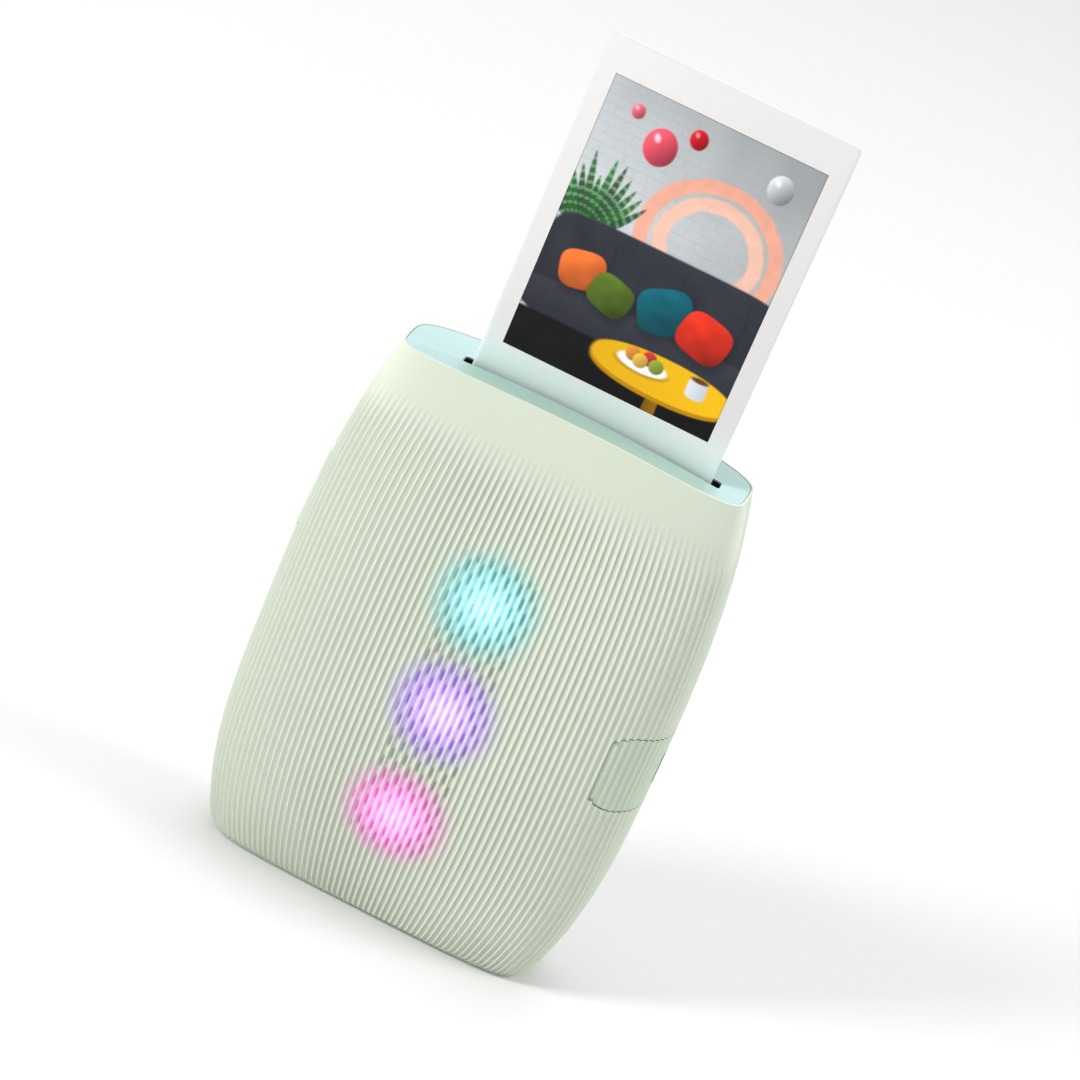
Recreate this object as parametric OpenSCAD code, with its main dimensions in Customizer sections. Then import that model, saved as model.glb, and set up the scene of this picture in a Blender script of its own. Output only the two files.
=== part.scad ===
// Compact photo printer: a ribbed, pillow-shaped case with a crowned top cap,
// a film door on the back, a geared pair of ejecting rollers and one print in its slot.
// Millimetres. +Z is up, the front faces -Y, and the origin is the middle of the base.

/* [Body] */
// Room from the cassette to each side of the body at its waist
side_room = 14.5; // [14:0.25:17]
// Deepest depth of the body, over the ribs
body_d = 37.2; // [37:0.2:41]
// Height of the widest section above the base
waist_z = 50.3; // [48:0.5:54]
// How much each side of the body comes in from its waist to its top edge
top_taper_w = 6.55; // [4:0.05:7]
// Depth of the body at its top edge
top_d = 20.2; // [20:0.2:24]
// How much each side of the body comes in from its waist to its base
base_taper_w = 7.4; // [4.5:0.1:7.5]
// Depth of the body at its base, before the edge is rounded
base_d = 19.8; // [19.6:0.2:23]
// Drop of the crowned top at its two ends
crown_drop = 1.9; // [1:0.1:2.4]
// Rounding of the base edge, seen from the front
base_round = 3.4; // [2.6:0.2:4.4]
// Rounding of the base edge, seen from the side
base_edge = 1.6; // [1.2:0.1:2]

/* [Shells] */
// Wall of the shells, from the rib crests to the inside
wall = 1.7; // [1.5:0.1:1.8]
// Wall of the lip that surrounds the top cap
lip = 0.4; // [0.3:0.05:0.6]
// Gap between neighbouring covers and shells
seam = 0.2; // [0.15:0.05:0.3]
// Number of ribs round the front shell, an even number
ribs = 70; // [60:2:76]
// Depth of a rib from crest to valley
rib_depth = 0.4; // [0.2:0.05:0.5]
// How far below the top the ribs start to fade out
rib_fade_drop = 20.8; // [16:0.2:26]
// Height over which the ribs fade out
rib_fade_h = 13; // [8:1:15]
// Thickness of the top cap
cap_t = 2.2; // [1.6:0.1:2.6]

/* [Film] */
// Width of an instant print
film_w = 54; // [52:0.5:54.5]
// Height of an instant print
film_h = 86; // [84:0.5:86.5]
// Thickness of an instant print
film_t = 0.3; // [0.25:0.05:0.35]
// Sideways offset of the film path from the middle
film_x = 3.4; // [2:0.1:4]
// Depth place of the film path
film_y = -2.6; // [-2.8:0.1:-2.4]
// Height of the print that stands out above the top
print_out = 76; // [70:1:77]
// Room in the slot at each edge of a print
slot_side = 1.9; // [1.5:0.1:2.5]
// Width of the film slot in the cap
slot_d = 3.2; // [3:0.1:3.6]
// Room in the cassette beside a print, with its wall
pack_side = 3.5; // [3:0.1:3.7]
// Outer depth of the film cassette
pack_d = 12.8; // [12:0.1:13]
// Wall of the film cassette
pack_wall = 1; // [0.8:0.1:1.2]
// Height of the cassette's underside
pack_z = 9.3; // [9.1:0.1:9.5]
// Thickness of the stack of unused sheets
stack_t = 3; // [1.5:0.3:4]

/* [Chassis] */
// Wall of the chassis
frame_wall = 1.2; // [1:0.1:1.3]
// Clearance between the cassette and the chassis
pack_gap = 0.4; // [0.3:0.05:0.5]
// Depth place of the chassis' rear edge
frame_back = 7.4; // [7:0.1:7.6]

/* [Rollers and gears] */
// Height of the print head between the chassis and the rollers
head_h = 4; // [3:0.2:5]
// Height from the roller axes to the top of the body
roller_room = 17.8; // [17:0.2:20]
// Radius of the roller shafts
shaft_r = 1; // [0.8:0.1:1.2]
// Outer radius of the bushes
bush_r = 2; // [1.8:0.1:2.2]
// Module of the gears
gear_m = 0.5; // [0.49:0.01:0.5]
// Running clearance between a shaft and its bore
run_gap = 0.05; // [0.03:0.01:0.08]
// Width of one gear wheel
gear_t = 1.8; // [1.4:0.1:1.9]
// Radius of the gear pins
gear_pin_r = 0.75; // [0.6:0.05:0.9]
// Radius of the motor can
motor_r = 5; // [4.4:0.1:5.2]
// Length of the motor can
motor_len = 4.2; // [3.4:0.2:4.4]

/* [Film door] */
// How much wider than the cassette the film door is, at each side
door_side = 3.5; // [2.5:0.25:4]
// Height of the film door's lower edge
door_z0 = 7; // [6.8:0.1:7.2]
// How far the film door reaches above the cassette
door_over = 3.5; // [2.1:0.2:4]
// Radius of the door's hinge barrel
barrel_r = 1.5; // [1.3:0.1:1.6]
// Radius of the hinge pin
pin_r = 0.7; // [0.5:0.05:0.8]
// Width of the hinge barrel
barrel_w = 22.8; // [18:0.4:26]
// Width of one hinge ear
ear_w = 2.8; // [2:0.2:3.4]
// Depth place of the hinge axis
hinge_y = 12.1; // [11.9:0.1:12.4]
// Width of the latch's thumb plate
latch_w = 15; // [12:0.5:18]
// Height of the latch's thumb plate
latch_h = 5; // [4:0.2:5.4]
// How far the latch slides down to let the door go
latch_travel = 2; // [1.5:0.1:2.2]

/* [Button and port] */
// Height of the power button's middle
button_z = 84.6; // [83:0.2:86]
// Length of the power button
button_l = 21.5; // [18:0.5:22]
// Width of the power button
button_w = 5.2; // [4.4:0.2:5.6]
// How far the power button stands proud
button_proud = 0.35; // [0.2:0.05:0.5]
// How far the power button presses in
button_travel = 0.8; // [0.5:0.1:0.8]
// Depth place of the power button's middle
button_y = -3.3; // [-3.6:0.1:-3]
// Height of the port cover's middle
port_z = 58.9; // [57.5:0.1:60]
// Height of the port cover
port_h = 18.2; // [17:0.2:19]
// Depth place of the port cover's front edge
port_front = -13.2; // [-13.6:0.1:-12.8]
// Length of the nail notch in the port cover
notch_l = 8.5; // [6:0.5:10]
// Depth place of the charging socket
socket_y = -5; // [-5.4:0.1:-4.6]

/* [Lights and electronics] */
// Radius of a light guide
guide_r = 8.5; // [7:0.5:9.5]
// Height of the middle light guide
guide_z = 56.4; // [55:0.2:58]
// Spacing of the light guides
guide_pitch = 26.6; // [25:0.2:28]
// Sideways place of the light guides
guide_x = 0.8; // [0:0.1:1.5]
// Thickness of the battery
battery_t = 4.4; // [3.6:0.1:4.8]
// Thickness of the circuit boards
board_t = 1.1; // [0.8:0.1:1.2]
// Width of the main board
board_w = 55; // [50:0.5:55.5]

/* [Hidden] */

// ---- main sizes that follow from the film ----
pack_w = film_w + 2 * pack_side;
pack_h = film_h + 2 * pack_wall + 0.6;
pack_top = pack_z + pack_h;
frame_z0 = pack_z - 0.3 - frame_wall;
frame_top = pack_top + 0.3 + frame_wall;
roller_teeth = 14;
roller_r = pitch_r(roller_teeth) - film_t / 2;
roller_z = frame_top + head_h + 0.25 + roller_r;
body_h = roller_z + roller_room;
body_w = pack_w + 2 * side_room;
top_w = body_w - 2 * top_taper_w;
base_w = body_w - 2 * base_taper_w;
slot_w = film_w + 2 * slot_side;
door_w = pack_w + 2 * door_side;

// ---- shape of the body ----
width_power = 2.9;
depth_power = 1.8;
mid_square = 2.5;
end_square = 4.4;
crown_power = 6;
front_columns = 34;
back_columns = 36;
// heights of the rings of the outside, from the base to the top
base_steps = [0, 0.04, 0.14, 0.34, 0.64];
lower_steps = [0, 0.14, 0.38, 0.68];
upper_steps = [0, 0.2, 0.38, 0.54, 0.67, 0.77, 0.85, 0.92, 1];
outer_levels = concat(
  [for (t = base_steps) t * base_round],
  [for (t = lower_steps) base_round + t * (waist_z - base_round)],
  [for (t = upper_steps) waist_z + t * (body_h - waist_z)]);
inner_levels = concat(
  [for (t = [0, 0.04, 0.12, 0.3, 0.6]) wall + t * (waist_z - wall)],
  [for (t = [0, 0.2, 0.4, 0.58, 0.73, 0.86]) waist_z + t * (body_h - waist_z)],
  [body_h + 1.5]);

function up(z) = max(0, (z - waist_z) / (body_h - waist_z));
function down(z) = max(0, (waist_z - z) / waist_z);
function half_w(z) = body_w / 2
  - (body_w - top_w) / 2 * pow(up(z), width_power)
  - (body_w - base_w) / 2 * pow(down(z), width_power);
function half_d(z) = body_d / 2
  - (body_d - top_d) / 2 * pow(up(z), depth_power)
  - (body_d - base_d) / 2 * pow(down(z), depth_power);
function square_power(z) = mid_square
  + (end_square - mid_square) * (pow(up(z), 2) + pow(down(z), 2));
function crown(x, z) = crown_drop * pow(2 * x / top_w, 2) * pow(z / body_h, crown_power);
// place of the outside at a given depth or at a given width
function side_x(y, z) = half_w(z)
  * pow(1 - pow(abs(y) / half_d(z), square_power(z)), 1 / square_power(z));
function face_y(x, z) = half_d(z)
  * pow(1 - pow(abs(x) / half_w(z), square_power(z)), 1 / square_power(z));

function edge_inset(z, r) = z < r ? r - sqrt(r * r - (r - z) * (r - z)) : 0;
function skin_point(w, z, inset) =
  let (a = half_w(z), b = half_d(z), n = square_power(z))
  let (k = pow(pow(abs(cos(w)), n) + pow(abs(sin(w)), n), -1 / n))
  let (u = cos(w) * k, v = sin(w) * k)
  let (gx = sign(u) * pow(abs(u), n - 1) / a, gy = sign(v) * pow(abs(v), n - 1) / b)
  let (g = [gx, gy] / norm([gx, gy]))
  let (r = base_edge + (base_round - base_edge) * g.x * g.x)
  let (d = inset + edge_inset(z, r))
  let (x = a * u - g.x * d, y = b * v - g.y * d)
  [x, y, z - crown(x, z)];

// angles that part the front of the widest section into steps of equal length
arc_table = [for (w = 180, s = 0; w <= 360;
  s = s + norm(skin_point(w + 1, waist_z, 0) - skin_point(w, waist_z, 0)), w = w + 1) [s, w]];
arc_length = arc_table[180][0];
function column_angles(columns) = [for (j = [0:columns]) lookup(arc_length * j / columns, arc_table)];

rib_fade_z = body_h - rib_fade_drop;
function rib_fade(z) = z < 0.05 ? 0
  : let (t = min(1, max(0, (z - rib_fade_z) / rib_fade_h))) 1 - t * t * (3 - 2 * t);
function rib_inset(j, z, depth) = j % 2 == 0 ? 0 : depth * rib_fade(z);

// Solid that follows the front of the body and has a flat back at back_y.
// Rings are [height, inset]. Behind the middle of the body its sides run straight.
corner_w = 0.3;
module half_loft(rings, columns, depth = 0, back_y = 0) {
  angles = column_angles(columns);
  extra = back_y > 0 ? 1 : 0;
  n = columns + 2 * extra;
  last = len(rings) - 1;
  skin = [for (r = rings) [for (j = [0:columns])
    skin_point(angles[j], r[0], r[1] + rib_inset(j, r[0], depth))]];
  rows = [for (s = skin) extra == 0 ? s
    : concat([[s[0].x, back_y, s[0].z]], s, [[s[columns].x, back_y, s[columns].z]])];
  // columns this near to a corner, or beyond it, share the corner's point on the back
  function near(row) = len([for (j = [0:n / 2])
    if (abs(row[j].x) > abs(row[0].x) - corner_w) j]);
  first = max(near(rows[0]), near(rows[last]));
  function back(k) = [for (j = [first:n - first]) [rows[k][j].x, back_y, rows[k][j].z]];
  points = concat([for (r = rows) each r], back(0), back(last));
  function at(k, j) = k * (n + 1) + j;
  function behind(k, j) = j < first ? at(k, 0) : j > n - first ? at(k, n)
    : len(rows) * (n + 1) + (k == 0 ? 0 : n - 2 * first + 1) + j - first;
  function tidy(faces) = [for (f = faces)
    let (g = [for (i = [0:3]) if (f[i] != f[(i + 1) % 4]) f[i]]) if (len(g) > 2) g];
  sides = [for (k = [0:last - 1]) for (j = [0:n - 1])
    [at(k, j), at(k + 1, j), at(k + 1, j + 1), at(k, j + 1)]];
  base = [for (j = [0:n - 1]) [at(0, j), at(0, j + 1), behind(0, j + 1), behind(0, j)]];
  lid = [for (j = [0:n - 1])
    [behind(last, j), behind(last, j + 1), at(last, j + 1), at(last, j)]];
  plane = concat([at(0, 0)], [for (j = [first:n - first]) behind(0, j)],
    [for (k = [0:last]) at(k, n)], [for (j = [n - first:-1:first]) behind(last, j)],
    [for (k = [last:-1:1]) at(k, 0)]);
  polyhedron(points, concat(sides, tidy(base), tidy(lid), [plane]));
}
outer_rings = [for (z = outer_levels) [z, 0]];
function inner_rings(inset) = [for (z = inner_levels) [z, inset]];
module front_inside(inset) {
  half_loft(inner_rings(inset), front_columns, back_y = 4);
}
module rear_outside() {
  mirror([0, 1, 0]) half_loft(outer_rings, back_columns);
}
module rear_inside(inset) {
  mirror([0, 1, 0]) half_loft(inner_rings(inset), back_columns, back_y = 4);
}
module cap_pocket(columns) {
  half_loft([[cap_under, lip], [body_h - 0.8, lip], [body_h + 1, lip]], columns, back_y = 5);
}
// the front of the body, standing out by a given amount
module front_grown(by) {
  half_loft([for (z = outer_levels) if (z > base_round) [z, -by]], back_columns, back_y = 4);
}
// a free-form piece is one surface mesh
module one_mesh() {
  resize([0, 0, 0]) children();
}
module rounded_rect(w, h, r) {
  square([w - 2 * r, h], center = true);
  square([w, h - 2 * r], center = true);
  for (sx = [-1, 1]) for (sy = [-1, 1])
    translate([sx * (w / 2 - r), sy * (h / 2 - r)]) circle(r, $fn = 24);
}
// a box given by its low and high corners
module span(low, high) {
  translate(low) cube(high - low);
}
// a rod along X or along Y
module rod_x(x0, x1, y, z, r) {
  translate([x0, y, z]) rotate([0, 90, 0]) cylinder(h = x1 - x0, r = r, $fn = 48);
}
module rod_y(y0, y1, x, z, r) {
  translate([x, y1, z]) rotate([90, 0, 0]) cylinder(h = y1 - y0, r = r, $fn = 48);
}
// a plate with a rounded outline in X and Z
module panel_y(y0, y1, x, z, w, h, r) {
  translate([x, y1, z]) rotate([90, 0, 0]) linear_extrude(y1 - y0) rounded_rect(w, h, r);
}
// a block with a rounded outline in Y and Z
module block_x(x0, x1, y, z, w, h, r) {
  translate([x0, y, z]) rotate([90, 0, 90]) linear_extrude(x1 - x0) rounded_rect(w, h, r);
}
// a coil spring along Z with flat-cut round wire
module coil(h, r, wire_r, turns) {
  steps = 10;
  sides = 5;
  rings = steps * turns;
  rise = h - 2 * wire_r;
  points = [for (i = [0:rings]) for (k = [0:sides - 1])
    let (a = 360 * i / steps, b = 360 * k / sides)
    [(r + wire_r * cos(b)) * cos(a), (r + wire_r * cos(b)) * sin(a),
      wire_r + rise * i / rings + wire_r * sin(b)]];
  walls = [for (i = [0:rings - 1]) for (k = [0:sides - 1])
    let (m = (k + 1) % sides)
    [i * sides + k, i * sides + m, (i + 1) * sides + m, (i + 1) * sides + k]];
  foot = [[for (k = [sides - 1:-1:0]) k]];
  head = [[for (k = [0:sides - 1]) rings * sides + k]];
  one_mesh() polyhedron(points, concat(walls, foot, head));
}

// ---- places inside the body ----
cap_under = body_h - cap_t;
cap_seat_gap = 0.05;
slot_y = film_y + 0.6;
slot_round = 0.8;
throat_wall = 1;
throat_z = film_bottom_z() - 0.3;
function film_bottom_z() = body_h + print_out - film_h;
pack_front = film_y - 1.7;
pack_back = pack_front + pack_d;
frame_left = film_x - pack_w / 2 - pack_gap - frame_wall;
frame_right = film_x + pack_w / 2 + pack_gap + frame_wall;
frame_front = pack_front - pack_gap - frame_wall;

// ---- rollers and gears ----
idler_teeth = 24;
second_big = 26;
second_small = 12;
first_big = 20;
first_small = 12;
pinion_teeth = 10;
function pitch_r(teeth) = teeth * gear_m / 2;
rear_axis = [film_y + pitch_r(roller_teeth), roller_z];
front_axis = [film_y - pitch_r(roller_teeth), roller_z];
idler_reach = pitch_r(roller_teeth) + pitch_r(idler_teeth);
idler_axis = [0, roller_z - sqrt(pow(idler_reach, 2) - pow(rear_axis.x, 2))];
second_axis = [0, idler_axis.y - pitch_r(idler_teeth) - pitch_r(second_small)];
first_axis = [0, second_axis.y - pitch_r(second_big) - pitch_r(first_small)];
pinion_axis = [0, first_axis.y - pitch_r(first_big) - pitch_r(pinion_teeth)];
side_gap = 0.3;
inner_gear_x = frame_left - side_gap - gear_t;
outer_gear_x = inner_gear_x - 0.4 - gear_t;
plate_t = 0.8;
plate_x = outer_gear_x - side_gap - plate_t;
plate_half = 6;
plate_z0 = pinion_axis.y - 6;
plate_z1 = idler_axis.y + 4;
hub_r = gear_pin_r + 0.85;
motor_shaft_r = 0.5;
shaft_left = inner_gear_x - 0.4;
shaft_right = frame_right + 0.6;

// teeth are straight-sided, a little thinner than half the pitch
tooth_share = 0.43;
tooth_slope = tan(21);
addendum = 0.8;
dedendum = 1.15;
function tooth_half(r, teeth) = 90 / PI / r
  * (tooth_share * PI * gear_m - 2 * tooth_slope * (r - pitch_r(teeth)));
function gear_outline(teeth) =
  let (root = pitch_r(teeth) - dedendum * gear_m, tip = pitch_r(teeth) + addendum * gear_m)
  [for (i = [0:teeth - 1]) for (c = [[root, -1], [tip, -1], [tip, 1], [root, 1]])
    let (a = 360 * i / teeth + c[1] * tooth_half(c[0], teeth)) c[0] * [cos(a), sin(a)]];
function direction(from, to) = atan2(to.y - from.y, to.x - from.x);
// angle of a tooth on the second wheel when its gap meets a tooth of the first
function mesh_angle(dir, angle, teeth, other) = dir + 180
  + ((dir - angle) * teeth / 360 + 0.5) * 360 / other;
rear_angle = 180;
front_angle = mesh_angle(180, rear_angle, roller_teeth, roller_teeth);
idler_angle = mesh_angle(direction(rear_axis, idler_axis), rear_angle, roller_teeth, idler_teeth);
second_angle = mesh_angle(-90, idler_angle, idler_teeth, second_small);
first_angle = mesh_angle(-90, 0, second_big, first_small);
pinion_angle = mesh_angle(-90, 0, first_big, pinion_teeth);
module wheel(x, axis, teeth, angle, bore) {
  translate([x, axis.x, axis.y]) rotate([90, 0, 90]) rotate(angle) linear_extrude(gear_t)
    difference() {
      polygon(gear_outline(teeth));
      if (bore > 0) circle(bore, $fn = 48);
    }
}
module hub(x0, x1, axis, r, bore) {
  difference() {
    rod_x(x0, x1, axis.x, axis.y, r);
    rod_x(x0 - 1, x1 + 1, axis.x, axis.y, bore);
  }
}

// ---- door, latch and port ----
door_wall = 1.6;
door_round = 5;
door_z1 = pack_top + door_over;
door_mid_z = (door_z0 + door_z1) / 2;
hinge_z = door_z0 - 0.4;
latch_z = door_z1 - 1.2 - latch_h / 2;
latch_back = 12.2;
latch_front = 11;
latch_foot = latch_z - latch_h / 2 - 1.7;
latch_proud = 0.6;
spring_seat_z = latch_foot - 5.1;
liner_y = pack_back + 0.9;
liner_t = 1;
liner_z0 = 19;
liner_z1 = latch_foot - latch_travel - 1.5;
port_wall = 1.2;

// ---- boards ----
board_back = frame_front - battery_t - 0.5;
board_front = board_back - board_t;
board_z0 = 22;
board_z1 = pack_top - 8.9;
screw_inset = [2, 4];
led_t = 0.8;
lug_r = 2.6;
boss_r = 2.3;
lug_gap = 0.6;
// screw places: X and Z, beside the walls of the case
function lug_x(z) = half_w(z) - wall - lug_r - lug_gap;
lugs = [[-lug_x(18), 18], [-lug_x(58), 58], [lug_x(24), 24], [lug_x(84), 84]];
function screw_tip(p) = face_y(abs(p.x), p.y) - wall - 1.5;
lug_y = 0;
lug_t = 1.5;
claw_x = frame_left - 1.3;
claw_t = 0.6;
claw_y = film_y - 0.3;
claw_w = 4.4;
claw_travel = 4.5;
claw_z0 = pack_z + 0.5;
claw_top = 56;
claw_pins_z = [24, 46];
claw_pin_r = 1;
claw_seat_z = 63;

// ================= case =================
module port_cut(extra) {
  block_x(30, 60, port_front / 2 - extra / 2 + 1.5, port_z,
    -port_front + 3 + extra, port_h + 2 * extra, 3);
}
module button_pill(x0, x1, extra) {
  w = button_w + 2 * extra;
  l = button_l + 2 * extra;
  block_x(x0, x1, button_y, button_z, w, l, w / 2 - 0.01);
}
module case_boss(p) {
  translate([p.x, lug_y - 0.05, p.y]) rotate([90, 0, 0]) difference() {
    cylinder(h = 25, r = boss_r, $fn = 16);
    translate([0, 0, -1]) cylinder(h = 12, r = 0.9, $fn = 12);
  }
}
module front_shell() color("#dde5d3") one_mesh() {
  difference() {
    half_loft(outer_rings, 2 * ribs, rib_depth);
    front_inside(wall);
    cap_pocket(front_columns);
    port_cut(seam);
    button_pill(-60, -30, seam);
  }
  intersection() {
    for (p = lugs) case_boss(p);
    front_inside(wall - 0.3);
  }
}
module door_prism(extra) {
  panel_y(3, 30, film_x, door_mid_z, door_w + 2 * extra, door_z1 - door_z0 + 2 * extra,
    door_round + extra);
}
module rear_shell() color("#c9d6c4") one_mesh() difference() {
  rear_outside();
  rear_inside(wall);
  mirror([0, 1, 0]) cap_pocket(back_columns);
  span([-60, -40, -1], [60, seam, body_h + 5]);
  door_prism(seam);
  span([film_x - barrel_w / 2 - ear_w - 0.6, 8, hinge_z - barrel_r - 0.4],
    [film_x + barrel_w / 2 + ear_w + 0.6, 25, door_z0 + 1]);
  span([film_x - latch_w / 3 - 0.4, 9, door_z1 - 1], [film_x + latch_w / 3 + 0.4, 25, door_z1 + 2.7]);
}
module cap_half() {
  edge = lip + seam;
  half_loft([[cap_under + cap_seat_gap, edge], [body_h - 0.3, edge], [body_h - 0.1, edge + 0.08],
    [body_h, edge + 0.3]], 32);
}
module top_cap() color("#bfdfdf") one_mesh() difference() {
  union() {
    cap_half();
    mirror([0, 1, 0]) cap_half();
    translate([film_x, slot_y, throat_z]) linear_extrude(body_h - 1.8 - throat_z)
      square([slot_w + 2 * throat_wall, slot_d + 2 * throat_wall], center = true);
  }
  translate([film_x, slot_y, throat_z - 1]) linear_extrude(body_h)
    rounded_rect(slot_w, slot_d, slot_round);
}
module port_bezel() color("#3d4442") one_mesh() difference() {
  intersection() {
    front_inside(wall + 0.3);
    span([30, -9.8, port_z - port_h / 2 - 1.5], [60, -0.3, port_z + port_h / 2 + 1.5]);
  }
  front_inside(wall + 1.3);
  block_x(30, 60, socket_y, port_z, 3.7, 9.5, 1.4);
}

// ================= chassis =================
module chassis() color("#4a4f50") difference() {
  union() {
    span([frame_left, frame_front, frame_z0], [frame_right, frame_back, frame_top]);
    // cheeks that carry the rollers
    for (x = [frame_left, frame_right - frame_wall]) {
      span([x, front_axis.x, frame_top - 2], [x + frame_wall, rear_axis.x, roller_z + bush_r + 0.6]);
      for (a = [front_axis, rear_axis]) {
        rod_x(x, x + frame_wall, a.x, a.y, bush_r + 0.6);
        span([x, a.x - bush_r - 0.6, frame_top - 1], [x + frame_wall, a.x + bush_r + 0.6, roller_z]);
      }
    }
    // feet on the floor of the case
    for (x = [film_x - 18, film_x + 18]) span([x - 3, -3, wall + 0.05], [x + 3, 3, frame_z0 + 0.5]);
    // hinge ears
    for (x = [film_x - barrel_w / 2 - ear_w - 0.2, film_x + barrel_w / 2 + 0.2]) {
      rod_x(x, x + ear_w, hinge_y, hinge_z, barrel_r + 0.1);
      span([x, 3, hinge_z - barrel_r - 0.1], [x + ear_w, hinge_y, frame_z0 + 0.1]);
    }
    // standoffs for the main board
    for (x = [-1, 1]) for (z = [board_z0 + screw_inset.y, board_z1 - screw_inset.y + 0.5])
      rod_y(board_back, frame_front, x * (board_w / 2 - screw_inset.x), z, 1.6);
    // lugs for the case screws
    for (p = lugs) {
      rod_y(lug_y, lug_y + lug_t, p.x, p.y, lug_r);
      span([min(p.x, frame_right - 1), lug_y, p.y - lug_r],
        [max(p.x, frame_left + 1), lug_y + lug_t, p.y + lug_r]);
    }
    // seat of the claw spring
    span([frame_left - 3.9, claw_y - 1.5, claw_seat_z], [frame_left, claw_y + 1.5, claw_seat_z + 1]);
  }
  // room of the cassette, open to the back
  span([frame_left + frame_wall, frame_front + frame_wall, frame_z0 + frame_wall],
    [frame_right - frame_wall, 30, frame_top - frame_wall]);
  // way out of the sheets
  span([film_x - film_w / 2 - 1, film_y - 0.9, frame_top - 3],
    [film_x + film_w / 2 + 1, film_y + 0.9, frame_top + 1]);
  for (x = [frame_left - 1, frame_right - frame_wall - 1]) for (a = [front_axis, rear_axis])
    rod_x(x, x + frame_wall + 2, a.x, a.y, bush_r + 0.01);
  for (a = [idler_axis, second_axis, first_axis])
    rod_x(frame_left - 1, frame_left + 0.9, a.x, a.y, gear_pin_r + 0.01);
  rod_x(film_x - barrel_w / 2 - 10, film_x + barrel_w / 2 + 10, hinge_y, hinge_z, pin_r + 0.01);
  for (x = [-1, 1]) for (z = [board_z0 + screw_inset.y, board_z1 - screw_inset.y + 0.5])
    rod_y(board_back - 1, frame_front - 1, x * (board_w / 2 - screw_inset.x), z, 0.52);
  for (p = lugs) rod_y(lug_y - 1, lug_y + lug_t + 1, p.x, p.y, 1.1);
  // slot of the pick claw's hook
  span([frame_left - 1, claw_y - 1.1, claw_z0 - 0.3],
    [frame_left + frame_wall + 1, claw_y + 1.3, claw_z0 + 2.3 + claw_travel]);
  for (z = claw_pins_z) rod_x(frame_left - 1, frame_left + 0.7, claw_y, z, claw_pin_r + 0.01);
}
module hinge_pin() color("#b9bcc0") {
  rod_x(film_x - barrel_w / 2 - ear_w, film_x + barrel_w / 2 + ear_w, hinge_y, hinge_z, pin_r);
}
seal_inset = 0.3;
seal_t = 0.5;
module chamber_seal() color("#2b2c2d") difference() {
  span([frame_left + seal_inset, frame_back, frame_z0 + seal_inset],
    [frame_right - seal_inset, frame_back + seal_t, frame_top - seal_inset]);
  span([frame_left + frame_wall - 0.1, 0, frame_z0 + frame_wall - 0.1],
    [frame_right - frame_wall + 0.1, 30, frame_top - frame_wall + 0.1]);
}
module slot_seal() color("#1f1f20") {
  film_front = film_y - film_t / 2 - 0.1;
  film_rear = film_y + film_t / 2 + 0.1;
  low = throat_z + 1;
  half = slot_w / 2 - slot_round;
  span([film_x - half, slot_y - slot_d / 2, low], [film_x + half, film_front, low + 2]);
  span([film_x - half, film_rear, low], [film_x + half, slot_y + slot_d / 2, low + 2]);
}
module roller_bushes() color("#d8cfae") {
  for (x = [frame_left, frame_right - frame_wall]) for (a = [front_axis, rear_axis])
    hub(x, x + frame_wall, a, bush_r, shaft_r + run_gap);
}
module gear_plate() color("#8d9296") difference() {
  union() {
    span([plate_x, -plate_half, plate_z0], [plate_x + plate_t, plate_half, plate_z1]);
    for (y = [-4.6, 4.6]) rod_x(plate_x + 0.1, frame_left, y, plate_z0 + 2.2, 1.4);
    span([switch_x, button_y - 2.2, button_z - 3], [plate_x + 0.1, button_y + 2.2, button_z + 3]);
  }
  for (a = [idler_axis, second_axis, first_axis])
    rod_x(plate_x - 5, plate_x + 3, a.x, a.y, gear_pin_r + 0.01);
  rod_x(plate_x - 1, plate_x + 2, pinion_axis.x, pinion_axis.y, 1.6);
}
module gear_pins() color("#c3c6ca") {
  for (a = [idler_axis, second_axis, first_axis])
    rod_x(plate_x, frame_left + 0.9, a.x, a.y, gear_pin_r);
}
module motor() color("#a7abaf") difference() {
  union() {
    rod_x(plate_x - motor_len, plate_x, pinion_axis.x, pinion_axis.y, motor_r);
    rod_x(plate_x - 0.1, plate_x + 0.6, pinion_axis.x, pinion_axis.y, 1.5);
  }
  rod_x(plate_x - 3.5, plate_x + 2, pinion_axis.x, pinion_axis.y, motor_shaft_r + run_gap);
}
head_top = frame_top + head_h;
head_half = film_w / 2 + 1.5;
module exposure_head() color("#303336") difference() {
  span([film_x - head_half, front_axis.x - 4.2, frame_top], [film_x + head_half, film_y - 0.7, head_top]);
  span([film_x - head_half + 1, front_axis.x - 4.3, frame_top + 1],
    [film_x + head_half - 1, front_axis.x - 3.4, head_top + 1]);
}
module head_lens() color("#9fb4c4") {
  span([film_x - film_w / 2, film_y - 0.7, frame_top + 1.4],
    [film_x + film_w / 2, film_y - 0.35, head_top - 1]);
}
module head_cable() color("#c9853f") {
  t = 0.2;
  low = board_z1 - 7;
  bend = board_z1 + 3;
  head_y = front_axis.x - 3.2;
  translate([film_x - 6, 0, 0]) rotate([90, 0, 90]) linear_extrude(12)
    polygon([[board_back, low], [board_back, bend], [head_y, frame_top], [head_y + t, frame_top],
      [head_y + t, frame_top - 0.2], [board_back + t, bend], [board_back + t, low]]);
}
module main_board() color("#2f6b4a") difference() {
  span([-board_w / 2, board_front, board_z0], [board_w / 2, board_back, board_z1]);
  for (x = [-1, 1]) for (z = [board_z0 + screw_inset.y, board_z1 - screw_inset.y + 0.5])
    rod_y(board_front - 1, board_back + 1, x * (board_w / 2 - screw_inset.x), z, 0.7);
}
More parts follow.
